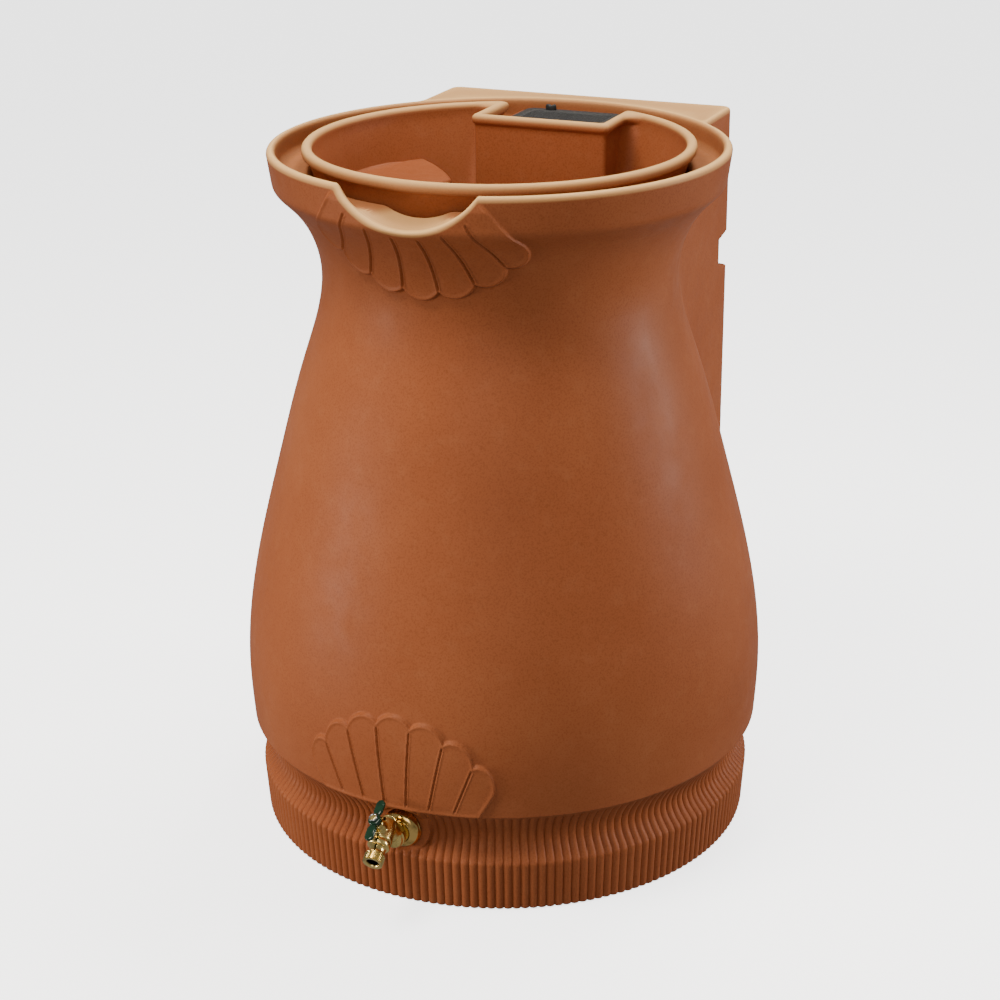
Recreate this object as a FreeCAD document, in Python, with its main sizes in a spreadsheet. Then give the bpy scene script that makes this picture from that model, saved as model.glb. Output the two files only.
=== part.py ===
"""Urn-shaped rain barrel with a planter insert, an inlet screen and a brass spigot.

Frame: +Z up, front (spout and spigot) towards -Y, flat back towards +Y.
The origin is on the ground, on the axis of the urn. Units are millimetres.
"""
import FreeCAD, Part
import math
import os
import Sketcher

os.makedirs("parts", exist_ok=True)
doc = FreeCAD.newDocument("rain_barrel")
Vector = FreeCAD.Vector
BEYOND = 500.0       # reach of a cutting tool that has to pass right through the model

# ---------------------------------------------------------------- driving dimensions
DIMENSIONS = [
    # the urn's outside, radius and height of each point of its outline
    ("wall", 6.0), ("foot_radius", 340.6), ("foot_round", 4.0),
    ("skirt_radius", 345.0), ("skirt_top", 71.0), ("waist_radius", 328.0), ("waist_height", 93.0),
    ("crease_radius", 354.0), ("crease_height", 146.0), ("belly_radius", 357.5), ("belly_height", 222.0),
    ("flank_low_radius", 340.0), ("flank_low_height", 369.0), ("flank_mid_radius", 304.0),
    ("flank_mid_height", 512.0), ("flank_high_radius", 263.0), ("flank_high_height", 655.0),
    ("neck_radius", 235.5), ("neck_height", 783.0), ("flare_low_radius", 247.0), ("flare_low_height", 829.0),
    ("flare_high_radius", 269.5), ("flare_high_height", 865.0), ("rim_foot_radius", 294.0),
    ("rim_foot_height", 889.0), ("rim_radius", 300.0), ("rim_wall", 12.0), ("rim_top", 938.0),
    # the flat back column and its strap groove
    ("back_face", 329.0), ("column_half_width", 211.0), ("column_corner", 12.0),
    ("groove_depth", 39.0), ("groove_mouth_low", 712.0), ("groove_mouth_high", 764.0),
    ("groove_floor_low", 722.0), ("groove_floor_high", 758.0),
    # the deck inside the rim: overflow trough, planter pocket and inlet platform
    ("trough_floor", 908.0), ("pocket_floor", 809.0), ("pocket_mouth_radius", 246.0),
    ("pocket_floor_radius", 215.0), ("platform_half_width", 84.0), ("platform_front", 147.0),
    ("platform_top", 922.0), ("inlet_half_width", 62.0), ("inlet_front", 170.0), ("inlet_back", 266.0),
    # the pouring spout, a bowl that widens and drops towards the front
    ("spout_inner_radius", 104.0), ("spout_outer_radius", 125.0), ("spout_inner_bottom", 897.5),
    ("spout_outer_bottom", 890.0), ("spout_inner_reach", 251.0), ("spout_outer_reach", 297.0),
    # the two raised shells
    ("shell_relief", 5.0), ("shell_lobes", 7.0),
    ("low_shell_focus", -60.0), ("low_shell_reach", 342.0), ("low_shell_step", 8.1),
    ("low_shell_fall", 0.07), ("low_shell_notch", 11.0), ("low_shell_foot", 148.0),
    ("high_shell_focus", 1075.0), ("high_shell_reach", 284.0), ("high_shell_step", 10.5),
    ("high_shell_fall", 0.0245), ("high_shell_notch", 12.0), ("high_shell_top", 931.0),
    # the planter insert
    ("planter_lip_radius", 255.0), ("planter_lip_width", 14.0), ("planter_top", 941.5),
    ("planter_wall", 6.0), ("planter_shoulder_radius", 248.0), ("planter_base_radius", 211.0),
    ("planter_base", 809.3), ("bay_half_width", 96.0), ("bay_front", 135.0),
    ("planter_shelf", 873.0), ("well_half_width", 187.0), ("well_back", 152.0),
    ("well_flank_half_width", 126.0), ("well_flank", 96.0),
    ("well_middle_half_width", 89.0), ("well_middle", 46.0), ("well_tip", -62.0),
    ("drain_hole_radius", 5.0), ("drain_circle_radius", 60.0), ("drain_holes", 4.0),
    # the inlet screen
    ("screen_half_width", 72.0), ("screen_front", 160.0), ("screen_back", 276.0), ("screen_corner", 14.0),
    ("screen_plate", 4.0), ("screen_border", 9.0), ("basket_half_width", 61.0), ("basket_depth", 26.0),
    ("basket_wall", 2.5), ("mesh_thickness", 1.2), ("mesh_seat", 2.0), ("mesh_hole", 7.0),
    ("mesh_pitch", 9.6),
    ("tab_offset", 36.0), ("tab_radius", 5.0), ("tab_height", 9.0),
    # the spigot's hole and seat in the tank
    ("spigot_height", 109.0), ("seat_outside", 336.0), ("seat_inside", 328.0), ("seat_recess", 31.0),
    ("seat_pad", 38.0), ("shank_hole", 13.7), ("nut_recess", 31.5),
    # the spigot: shank, flange and clamping pieces, as distances from the urn's axis
    ("shank_radius", 13.2), ("shank_bore", 8.5), ("shank_end", 296.0), ("gasket_thickness", 3.0),
    ("gasket_radius", 25.0), ("flange_radius", 27.0), ("flange_height", 13.0), ("flange_web", 4.0),
    ("barrel_radius", 15.5), ("barrel_end", 372.0), ("washer_thickness", 2.0), ("nut_height", 9.0),
    ("nut_radius", 21.0),
    # the ball valve: ball centre, direction of flow and sizes along it
    ("ball_reach", 388.0), ("ball_height", 127.0), ("nozzle_angle", 28.0), ("spigot_tilt", 10.0),
    ("ball_radius", 10.0), ("ball_bore", 7.0), ("chamber_radius", 10.4), ("chamber_wall", 15.5),
    ("seat_ring_radius", 10.3), ("seat_gap", 0.1), ("chamber_back", 12.5), ("chamber_front", 14.0),
    ("nozzle_collar_radius", 14.8), ("nozzle_collar_end", 23.0), ("nozzle_tube_radius", 10.8),
    ("nozzle_bore", 7.5), ("nozzle_length", 46.0), ("hose_thread_radius", 13.45),
    ("hose_thread_length", 13.0),
    # the stem and the handle, as distances from the ball's centre along the stem
    ("stem_radius", 4.0), ("stem_tang", 7.2), ("tang_thickness", 3.0), ("tang_clearance", 0.1),
    ("stem_shoulder_radius", 5.6), ("stem_shoulder", 13.0),
    ("neck_outer_radius", 9.0), ("neck_top", 22.0), ("thrust_thickness", 1.2), ("packing_height", 4.0),
    ("packing_radius", 6.6), ("gland_nut_radius", 9.2), ("gland_nut_top", 24.0), ("running_gap", 0.05),
    ("handle_low", 25.5), ("handle_thickness", 5.0), ("handle_hub_radius", 8.5), ("handle_hub_height", 6.5),
    ("handle_half_length", 30.0), ("handle_width", 13.0), ("handle_waist", 8.0), ("stem_top", 36.0),
    ("handle_nut_height", 4.0), ("handle_nut_radius", 6.0),
]

sheet = doc.addObject("Spreadsheet::Sheet", "dimensions")
for row, (alias, value) in enumerate(DIMENSIONS, start=1):
    sheet.set(f"A{row}", alias)
    sheet.set(f"B{row}", str(value))
    sheet.setAlias(f"B{row}", alias)
doc.recompute()


def size(alias):
    """Value of one driving dimension."""
    return float(sheet.get(alias))


def bound(text):
    """Expression text with every alias pointing at the sheet."""
    words = text.replace("(", " ( ").replace(")", " ) ").split()
    return " ".join(f"dimensions.{word}" if word[0].isalpha() else word for word in words)


def evaluate(text):
    """Value of an expression made of aliases, numbers, brackets and + - * /."""
    sheet.set("D1", "=" + bound(text).replace("dimensions.", ""))
    sheet.recompute()
    return float(sheet.get("D1"))


# ---------------------------------------------------------------- builders
def origin_plane(body, role):
    return next(item for item in body.Origin.OriginFeatures if item.Role == role)


def polygon_sketch(body, name, plane_role, outline):
    """Closed polygon whose corners are tied to the sheet; outline holds pairs of expressions."""
    sketch = body.newObject("Sketcher::SketchObject", name)
    sketch.AttachmentSupport = [(origin_plane(body, plane_role), "")]
    sketch.MapMode = "FlatFace"
    corners = [(evaluate(across), evaluate(along)) for across, along in outline]
    count = len(corners)
    for index in range(count):
        start = Vector(*corners[index], 0)
        end = Vector(*corners[(index + 1) % count], 0)
        sketch.addGeometry(Part.LineSegment(start, end), False)
    for index in range(count):
        sketch.addConstraint(Sketcher.Constraint("Coincident", index, 2, (index + 1) % count, 1))
    for index, (across, along) in enumerate(outline):
        for kind, text, value, axis in (("DistanceX", across, corners[index][0], -2),
                                        ("DistanceY", along, corners[index][1], -1)):
            if abs(value) < 1e-9:
                sketch.addConstraint(Sketcher.Constraint("PointOnObject", index, 1, axis))
                continue
            number = sketch.addConstraint(Sketcher.Constraint(kind, -1, 1, index, 1, value))
            sketch.setExpression(f"Constraints[{number}]", bound(text))
    return sketch


def new_body(name):
    body = doc.addObject("PartDesign::Body", name)
    body.Label = name
    return body


def turned(name, outline, placement):
    """Body turned about its own Z axis from a half outline of (radius, height) expressions."""
    body = new_body(name)
    sketch = polygon_sketch(body, name + "_outline", "XZ_Plane", outline)
    revolution = body.newObject("PartDesign::Revolution", name + "_turned")
    revolution.Profile = sketch
    revolution.ReferenceAxis = (sketch, ["V_Axis"])
    revolution.Angle = 360.0
    doc.recompute()
    body.Placement = placement
    return body


def primitive(kind, name, placement=None, **expressions):
    """Part primitive whose properties are bound to the sheet."""
    item = doc.addObject("Part::" + kind, name)
    for property_name, text in expressions.items():
        item.setExpression(property_name, bound(text))
    if placement is not None:
        item.Placement = placement
    return item


def cut(name, base, tool):
    item = doc.addObject("Part::Cut", name)
    item.Base = base
    item.Tool = tool
    return item


def feature(name, shape):
    item = doc.addObject("Part::Feature", name)
    item.Shape = shape
    item.Label = name
    return item


def box_between(low, high):
    """Solid box from its lowest to its highest corner."""
    return Part.makeBox(high[0] - low[0], high[1] - low[1], high[2] - low[2], Vector(*low))


def symmetric_box(half_width, front, back, low, high):
    return box_between((-half_width, front, low), (half_width, back, high))


def rounded_plate(half_width, front, back, corner, low, high):
    """Plate with rounded upright corners."""
    plate = symmetric_box(half_width, front, back, low, high)
    upright = [edge for edge in plate.Edges if abs(edge.tangentAt(edge.FirstParameter).z) > 0.9]
    return plate.makeFillet(corner, upright)


def revolved(edges):
    """Solid of revolution about Z from edges that close in the XZ plane."""
    wire = Part.Wire(Part.__sortEdges__(edges))
    return Part.Face(wire).revolve(Vector(0, 0, 0), Vector(0, 0, 1), 360)


def polyline(points):
    vectors = [Vector(radius, 0, height) for radius, height in points]
    return [Part.LineSegment(a, b).toShape() for a, b in zip(vectors, vectors[1:])]


def spline(points):
    curve = Part.BSplineCurve()
    curve.interpolate([Vector(radius, 0, height) for radius, height in points])
    return curve.toShape()


def truncated_cone(low_radius, low, high_radius, high):
    return Part.makeCone(low_radius, high_radius, high - low, Vector(0, 0, low))


# ---------------------------------------------------------------- tank
BODY_POINTS = ("crease", "belly", "flank_low", "flank_mid", "flank_high", "neck", "flare_low",
               "flare_high", "rim_foot")


def body_outline(offset):
    """Points from the crease above the base to the foot of the rim, moved outwards by offset."""
    return [(size(point + "_radius") + offset, size(point + "_height")) for point in BODY_POINTS]


def urn_outside(offset):
    """Solid inside the urn's outer skin, moved outwards by offset."""
    foot, round_ = size("foot_radius") + offset, size("foot_round")
    skirt = (size("skirt_radius") + offset, size("skirt_top"))
    waist = (size("waist_radius") + offset, size("waist_height"))
    body = body_outline(offset)
    rim = (size("rim_radius") + offset, size("rim_top") - size("rim_wall") / 2)
    lip = (rim[0] - size("rim_wall") / 2, size("rim_top"))
    shoulder = (lip[0] + size("rim_wall") / 2 * math.sin(math.pi / 4),
                rim[1] + size("rim_wall") / 2 * math.sin(math.pi / 4))
    edges = polyline([(0, 0), (foot - round_, 0), (foot, round_), skirt])
    edges.append(spline([skirt, waist, body[0]]))
    edges.append(spline(body))
    edges += polyline([body[-1], rim])
    edges.append(Part.Arc(*[Vector(r, 0, z) for r, z in (rim, shoulder, lip)]).toShape())
    edges += polyline([lip, (0, lip[1]), (0, 0)])
    return revolved(edges)


def urn_inside():
    """Hollow of the urn below the deck, one wall inside the outer skin."""
    wall = size("wall")
    inner = body_outline(-wall)
    floor_radius = size("waist_radius") - wall
    ceiling = size("trough_floor") - wall
    edges = polyline([(0, ceiling), (0, wall), (floor_radius, wall), (floor_radius, size("waist_height")),
                      inner[0]])
    edges.append(spline(inner))
    edges += polyline([inner[-1], (inner[-1][0], ceiling), (0, ceiling)])
    return revolved(edges)


def column(inset):
    """Flat-backed column behind the urn; inset is the wall thickness when it is the hollow."""
    half, back = size("column_half_width") - inset, size("back_face") - inset
    low, high = (inset, size("rim_top") - inset)
    block = symmetric_box(half, 0, back, low, high)
    corners = [edge for edge in block.Edges
               if abs(edge.tangentAt(edge.FirstParameter).z) > 0.9 and edge.CenterOfMass.y > back / 2]
    return block.makeFillet(size("column_corner") - inset / 2, corners)


def strap_groove(extra):
    """Trapezoid groove across the back; extra thickens it into the groove's own wall."""
    back, deep = size("back_face") + 1, size("back_face") - size("groove_depth") - extra
    profile = [(back, size("groove_mouth_low") - extra), (deep, size("groove_floor_low") - extra),
               (deep, size("groove_floor_high") + extra), (back, size("groove_mouth_high") + extra)]
    half = size("column_half_width") + 5
    points = [Vector(-half, y, z) for y, z in profile]
    face = Part.Face(Part.makePolygon(points + points[:1]))
    return face.extrude(Vector(2 * half, 0, 0))


def spout_ring(share, extra):
    """Upright circle of the spout's bowl, share of the way from its inner to its outer measuring point."""
    reach, radius, bottom = [
        size("spout_inner_" + name) + share * (size("spout_outer_" + name) - size("spout_inner_" + name))
        for name in ("reach", "radius", "bottom")]
    circle = Part.makeCircle(radius + extra, Vector(0, -reach, bottom + radius), Vector(0, 1, 0))
    return Part.Wire(circle)


def spout_bowl(extra):
    """Bowl that cuts the pouring spout; extra makes it the underside of the spout's wall."""
    span = size("spout_outer_reach") - size("spout_inner_reach")
    inner_share = -2 * size("wall") / span
    return Part.makeLoft([spout_ring(inner_share, extra), spout_ring(2, extra)], True, True)


def fan_point(prefix, index, sign, notch):
    """Point on a shell's scalloped edge, index steps from its middle line."""
    angle = index * size(prefix + "_step")
    reach = size(prefix + "_reach") - size(prefix + "_fall") * angle ** 2 - notch
    turn = math.radians(angle)
    return (reach * math.sin(turn), size(prefix + "_focus") + sign * reach * math.cos(turn))


def scallop_edges(prefix, sign):
    """Arcs of the scalloped edge, from one side to the other."""
    lobes = int(size("shell_lobes"))
    half = lobes / 2
    notch = size(prefix + "_notch")
    valleys = [fan_point(prefix, number - half, sign, notch) for number in range(lobes + 1)]
    tips = [fan_point(prefix, number - half + 0.5, sign, 0) for number in range(lobes)]
    arcs = []
    for start, tip, end in zip(valleys, tips, valleys[1:]):
        arcs.append(Part.Arc(*[Vector(x, 0, z) for x, z in (start, tip, end)]).toShape())
    return arcs, valleys[0], valleys[-1]


def raised_shell(prefix, sign, far_edge):
    """Scalloped patch of skin that stands proud of the urn's front; its sides point at its focus."""
    arcs, left, right = scallop_edges(prefix, sign)
    focus = size(prefix + "_focus")
    narrowing = (far_edge - focus) / (right[1] - focus)
    corners = [right, (right[0] * narrowing, far_edge), (left[0] * narrowing, far_edge), left]
    sides = [Vector(x, 0, z) for x, z in corners]
    edges = arcs + [Part.LineSegment(a, b).toShape() for a, b in zip(sides, sides[1:])]
    prism = Part.Face(Part.Wire(Part.__sortEdges__(edges))).extrude(Vector(0, -BEYOND, 0))
    return urn_outside(size("shell_relief")).common(prism).cut(urn_outside(-size("wall") / 2))


def planter_pocket(extra):
    """Recess in the deck that holds the planter, thickened by extra for its wall."""
    return truncated_cone(size("pocket_floor_radius") + extra, size("pocket_floor") - extra,
                          size("pocket_mouth_radius") + extra, size("trough_floor"))


def make_tank():
    wall, top = size("wall"), size("rim_top")
    rim_bore = size("rim_radius") - size("rim_wall")
    before_back = box_between((-BEYOND, -BEYOND, -1), (BEYOND, size("back_face"), top + 1))
    outside = urn_outside(0).fuse(column(0)).common(before_back).cut(strap_groove(0))

    platform = symmetric_box(size("platform_half_width"), size("platform_front"), size("back_face"),
                             size("pocket_floor") - wall, size("platform_top"))
    platform_hollow = symmetric_box(size("platform_half_width") - wall, size("platform_front") + wall,
                                    rim_bore, size("pocket_floor") - 4 * wall, size("platform_top") - wall)
    platform_hollow = platform_hollow.common(Part.makeCylinder(rim_bore - wall, top))
    deck_opening = Part.makeCylinder(rim_bore, top, Vector(0, 0, size("trough_floor")))
    deck_opening = deck_opening.fuse(planter_pocket(0)).cut(platform)

    column_hollow = column(wall).cut(Part.makeCylinder(rim_bore + wall, top,
                                                       Vector(0, 0, size("trough_floor") - wall)))
    hollow = urn_inside().common(box_between((-BEYOND, -BEYOND, 0), (BEYOND, size("back_face") - wall, top)))
    hollow = hollow.fuse(column_hollow)
    hollow = hollow.cut(planter_pocket(wall)).cut(spout_bowl(wall)).fuse(platform_hollow)
    hollow = hollow.cut(strap_groove(wall))

    inlet = symmetric_box(size("inlet_half_width"), size("inlet_front"), size("inlet_back"),
                          size("platform_top") - 2 * wall, size("platform_top") + wall)
    height, outside_seat = size("spigot_height"), size("seat_outside")
    forward = Vector(0, -1, 0)

    def across(radius, near, far):
        return Part.makeCylinder(radius, far - near, Vector(0, -near, height), forward)

    seat_block = across(size("seat_pad"), size("waist_radius") - 2 * wall, outside_seat)
    hollow = hollow.cut(seat_block)
    outside = outside.fuse(raised_shell("low_shell", 1, size("low_shell_foot")))
    outside = outside.fuse(raised_shell("high_shell", -1, size("high_shell_top")))
    outside = outside.fuse(seat_block)
    seat_cuts = across(size("seat_recess"), outside_seat, outside_seat + BEYOND)
    seat_cuts = seat_cuts.fuse(across(size("nut_recess"), size("waist_radius") - 3 * wall,
                                      size("seat_inside")))
    seat_cuts = seat_cuts.fuse(across(size("shank_hole"), size("waist_radius") - 3 * wall,
                                      outside_seat + wall))
    shape = outside.cut(hollow).cut(deck_opening).cut(spout_bowl(0)).cut(inlet).cut(seat_cuts)
    return feature("tank", shape.removeSplitter())


# ---------------------------------------------------------------- planter insert
def well_outline():
    """Plan of the deeper well, narrowing from the bay towards the front."""
    half = [(size("well_half_width"), size("well_back")),
            (size("well_middle_half_width"), size("well_middle"))]
    tip = (0, size("well_tip"))
    flank = Vector(size("well_flank_half_width"), size("well_flank"), 0)
    right = Part.Arc(Vector(*half[0], 0), flank, Vector(*half[1], 0)).toShape()
    left = right.mirror(Vector(0, 0, 0), Vector(1, 0, 0))
    front = Part.Arc(Vector(*half[1], 0), Vector(*tip, 0), Vector(-half[1][0], half[1][1], 0)).toShape()
    left_end, right_end = Vector(-half[0][0], half[0][1], 0), Vector(*half[0], 0)
    corners = [left_end, Vector(left_end.x, BEYOND, 0), Vector(right_end.x, BEYOND, 0), right_end]
    back = [Part.LineSegment(start, end).toShape() for start, end in zip(corners, corners[1:])]
    return Part.Wire(Part.__sortEdges__([right, front, left] + back))


def planter_outside():
    """Tapered tub with its rounded lip, as a full solid."""
    lip, width = size("planter_lip_radius"), size("planter_lip_width")
    round_ = width / 2 - 1
    top, shoulder = size("planter_top"), size("planter_shoulder_radius")
    spring = top - round_
    corner = [(lip, spring),
              (lip - round_ * (1 - math.cos(math.pi / 4)), spring + round_ * math.sin(math.pi / 4)),
              (lip - round_, top)]
    edges = polyline([(0, size("planter_base")), (size("planter_base_radius"), size("planter_base")),
                      (shoulder, top - width), (lip, top - width + 2), corner[0]])
    edges.append(Part.Arc(*[Vector(r, 0, z) for r, z in corner]).toShape())
    edges += polyline([corner[2], (0, top), (0, size("planter_base"))])
    return revolved(edges)


def planter_cavity():
    """Room for soil down to the bottom of the well, flaring over the lip."""
    wall, top, width = size("planter_wall"), size("planter_top"), size("planter_lip_width")
    inner, round_ = size("planter_lip_radius") - width, width / 2 - 1
    floor = size("planter_base") + wall
    corner = [(inner, top - round_),
              (inner + round_ * (1 - math.cos(math.pi / 4)), top - round_ + round_ * math.sin(math.pi / 4)),
              (inner + round_, top)]
    edges = polyline([(0, floor), (size("planter_base_radius") - wall, floor), (inner, top - width),
                      corner[0]])
    edges.append(Part.Arc(*[Vector(r, 0, z) for r, z in corner]).toShape())
    edges += polyline([corner[2], (corner[2][0], top + width), (0, top + width), (0, floor)])
    return revolved(edges)


def bay_rails():
    """Lip along the three sides of the bay."""
    width, wall, top = size("planter_lip_width"), size("planter_wall"), size("planter_top")
    outer = size("bay_half_width") - wall / 2 + width / 2
    front = size("bay_front") + wall / 2 - width / 2
    middle = size("planter_lip_radius") - width / 2
    back = math.sqrt(middle ** 2 - outer ** 2)
    rails = symmetric_box(outer, front, back, top - width + 1, top)
    return rails.cut(symmetric_box(outer - width, front + width, back + 1, top - width, top + 1))


def make_planter_insert():
    wall, top = size("planter_wall"), size("planter_top")
    height = top + 2 * size("planter_lip_width")
    half, front = size("bay_half_width"), size("bay_front")
    behind = size("back_face")
    bay_outer = symmetric_box(half, front, behind, 0, height)
    bay_clear = symmetric_box(half - wall, front + wall, behind, 0, height)
    well = Part.Face(well_outline()).extrude(Vector(0, 0, height))
    cavity = planter_cavity().cut(bay_outer)
    shelf_step = cavity.common(Part.makeCylinder(2 * half + behind, size("planter_shelf"))).cut(well)
    under_shelf = truncated_cone(size("planter_base_radius") - wall, size("planter_base") - 1,
                                 size("planter_base_radius"), size("planter_shelf") - wall)
    under_shelf = under_shelf.cut(Part.Face(well_outline()).makeOffset2D(wall).extrude(Vector(0, 0, height)))
    shape = planter_outside().cut(cavity).fuse(shelf_step).cut(bay_clear).cut(under_shelf).fuse(bay_rails())
    count = int(size("drain_holes"))
    for number in range(count):
        turn = math.pi * (number + 0.5) / count
        centre = Vector(size("drain_circle_radius") * math.cos(turn), size("well_middle"),
                        size("planter_base") - 1)
        shape = shape.cut(Part.makeCylinder(size("drain_hole_radius"), 3 * wall, centre))
    return feature("planter_insert", shape.removeSplitter())


# ---------------------------------------------------------------- inlet screen
def make_screen():
    half, front, back = size("screen_half_width"), size("screen_front"), size("screen_back")
    low = size("platform_top") + 0.3
    top = low + size("screen_plate")
    border, wall = size("screen_border"), size("basket_wall")
    plate = rounded_plate(half, front, back, size("screen_corner"), low, top)
    depth = low - size("basket_depth")
    inset = half - size("basket_half_width")
    basket = symmetric_box(size("basket_half_width"), front + inset, back - inset, depth, low + 1)
    hollow = symmetric_box(size("basket_half_width") - wall, front + inset + wall, back - inset - wall,
                           depth - 1, low)
    window_half = half - border - inset / 2
    window_front, window_back = front + border + inset / 2, back - border - inset / 2
    ledge = symmetric_box(window_half, window_front, window_back, low + size("screen_plate") / 2, top + 1)
    seat = size("mesh_seat")
    window = symmetric_box(window_half - seat, window_front + seat, window_back - seat, low - 1, top + 1)
    tab = Part.makeCylinder(size("tab_radius"), size("tab_height"),
                            Vector(-size("tab_offset"), back - size("tab_radius") - 2, top - 1))
    frame = plate.fuse(basket).cut(hollow).cut(window).cut(ledge).fuse(tab)
    for share in (1 / 3, 2 / 3):
        y = front + inset + share * (back - front - 2 * inset)
        frame = frame.fuse(symmetric_box(size("basket_half_width"), y, y + wall, depth, depth + 2 * wall))
    feature("screen_frame", frame.removeSplitter())

    margin = 0.2
    sheet_low = low + size("screen_plate") / 2
    mesh = symmetric_box(window_half - margin, window_front + margin, window_back - margin,
                         sheet_low, sheet_low + size("mesh_thickness"))
    pitch, hole = size("mesh_pitch"), size("mesh_hole")
    columns = int(2 * (size("basket_half_width") - wall) / pitch)
    rows = int((back - front - 2 * inset - 2 * wall) / pitch)
    middle = (front + back) / 2
    holes = []
    for column_number in range(columns):
        for row_number in range(rows):
            x = (column_number - (columns - 1) / 2) * pitch
            y = middle + (row_number - (rows - 1) / 2) * pitch
            holes.append(box_between((x - hole / 2, y - hole / 2, sheet_low - 1),
                                     (x + hole / 2, y + hole / 2, sheet_low + 3)))
    feature("screen_mesh", mesh.cut(holes))


# ---------------------------------------------------------------- spigot
def spigot_placement(origin, direction):
    """Placement that lays a part's own Z along direction at origin, then tilts the whole spigot."""
    turn = FreeCAD.Rotation(Vector(0, 0, 1), direction)
    local = FreeCAD.Placement(origin, turn)
    pivot = Vector(0, 0, size("spigot_height"))
    tilt = FreeCAD.Placement(Vector(0, 0, 0), FreeCAD.Rotation(Vector(0, 1, 0), -size("spigot_tilt")), pivot)
    return tilt.multiply(local)


def inlet_axis():
    """Distances measured outwards from the urn's axis, at the spigot's height."""
    return spigot_placement(Vector(0, 0, size("spigot_height")), Vector(0, -1, 0))


def ball_centre():
    return Vector(0, -size("ball_reach"), size("ball_height"))


def flow_direction():
    turn = math.radians(size("nozzle_angle"))
    return Vector(0, -math.cos(turn), -math.sin(turn))


def stem_direction():
    turn = math.radians(size("nozzle_angle"))
    return Vector(0, -math.sin(turn), math.cos(turn))


def flow_axis():
    return spigot_placement(ball_centre(), flow_direction())


def stem_axis():
    return spigot_placement(ball_centre(), stem_direction())


def ring_outline(inner, outer, low, high):
    return [(inner, low), (outer, low), (outer, high), (inner, high)]


def hexagon(name, placement, radius, low, high, bore):
    """Hexagonal nut with a plain bore, sizes as expressions."""
    outer = primitive("Prism", name + "_flats", Circumradius=radius, Height=f"{high} - ( {low} )")
    outer.Polygon = 6
    outer.setExpression("Placement.Base.z", bound(low))
    hole = primitive("Cylinder", name + "_bore", Radius=bore, Height=f"{high} - ( {low} )")
    hole.setExpression("Placement.Base.z", bound(low))
    nut = cut(name, outer, hole)
    nut.Label = name
    nut.Placement = placement
    return nut


# how far each point of the flange's dome is in from its rim, and its share of the dome's height
FLANGE_DOME = ((0.0, 0.15), (1.5, 0.38), (4.5, 0.69), (8.5, 0.92))


def make_clamping_pieces():
    """What holds the shank in the tank's wall, from the outside inwards."""
    along = inlet_axis()
    gasket_top = "seat_outside + gasket_thickness"
    turned("outer_gasket", ring_outline("shank_radius + 0.1", "gasket_radius", "seat_outside",
                                        gasket_top), along)
    dome = [(f"flange_radius - {inset}", f"{gasket_top} + flange_height * {share}")
            for inset, share in FLANGE_DOME]
    turned("wall_flange", [("shank_radius + 0.1", gasket_top), ("flange_radius", gasket_top)] + dome + [
        ("barrel_radius + 0.2", gasket_top + " + flange_height"),
        ("barrel_radius + 0.2", gasket_top + " + flange_web"),
        ("shank_radius + 0.1", gasket_top + " + flange_web")], along)
    inner_face = "seat_inside"
    turned("inner_gasket", ring_outline("shank_radius + 0.1", "gasket_radius",
                                        inner_face + " - gasket_thickness", inner_face), along)
    washer_low = inner_face + " - gasket_thickness - washer_thickness"
    turned("inner_washer", ring_outline("shank_radius + 0.1", "gasket_radius", washer_low,
                                        inner_face + " - gasket_thickness"), along)
    hexagon("lock_nut", along, "nut_radius", washer_low + " - nut_height", washer_low, "shank_radius")


def solid_cylinder(radius, start, end):
    axis = end - start
    return Part.makeCylinder(radius, axis.Length, start, axis)


def make_spigot_body():
    """Cast body: threaded shank, inlet barrel, riser, ball chamber and stem neck, with its bores."""
    level = size("spigot_height")
    shoulder = size("seat_outside") + size("gasket_thickness") + size("flange_web")
    barrel_end = Vector(0, -size("barrel_end") + 2, level)
    flow, stem, centre = flow_direction(), stem_direction(), ball_centre()
    chamber_rear = centre - flow * size("chamber_back")
    riser_top = chamber_rear - flow * 2

    def on_axis(reach):
        return Vector(0, -reach, level)

    outside = solid_cylinder(size("shank_radius"), on_axis(size("shank_end")), on_axis(shoulder + 1))
    for piece in (solid_cylinder(size("barrel_radius"), on_axis(shoulder), barrel_end),
                  Part.makeSphere(size("barrel_radius"), barrel_end),
                  solid_cylinder(size("barrel_radius"), barrel_end, riser_top),
                  Part.makeSphere(size("barrel_radius"), riser_top),
                  solid_cylinder(size("chamber_wall"), riser_top, centre + flow * size("chamber_front")),
                  solid_cylinder(size("neck_outer_radius"), centre, centre + stem * size("neck_top"))):
        outside = outside.fuse(piece)

    bore = size("shank_bore")
    inside = solid_cylinder(bore, on_axis(size("shank_end") - 1), barrel_end)
    for piece in (Part.makeSphere(bore, barrel_end),
                  solid_cylinder(bore - 1, barrel_end, riser_top),
                  solid_cylinder(size("ball_bore"), riser_top, centre),
                  solid_cylinder(size("chamber_radius"), centre - flow * size("chamber_back"),
                                 centre + flow * (size("chamber_front") + 1)),
                  solid_cylinder(size("stem_radius") + size("running_gap"), centre,
                                 centre + stem * (size("neck_top") + 1)),
                  solid_cylinder(size("stem_shoulder_radius") + size("running_gap"), centre,
                                 centre + stem * (size("stem_shoulder") + size("thrust_thickness"))),
                  solid_cylinder(size("packing_radius"), centre + stem * (size("neck_top") - 5),
                                 centre + stem * (size("neck_top") + 1))):
        inside = inside.fuse(piece)
    body = feature("spigot_body", outside.cut(inside).removeSplitter())
    body.Placement = spigot_placement(Vector(0, 0, 0), Vector(0, 0, 1))


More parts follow.
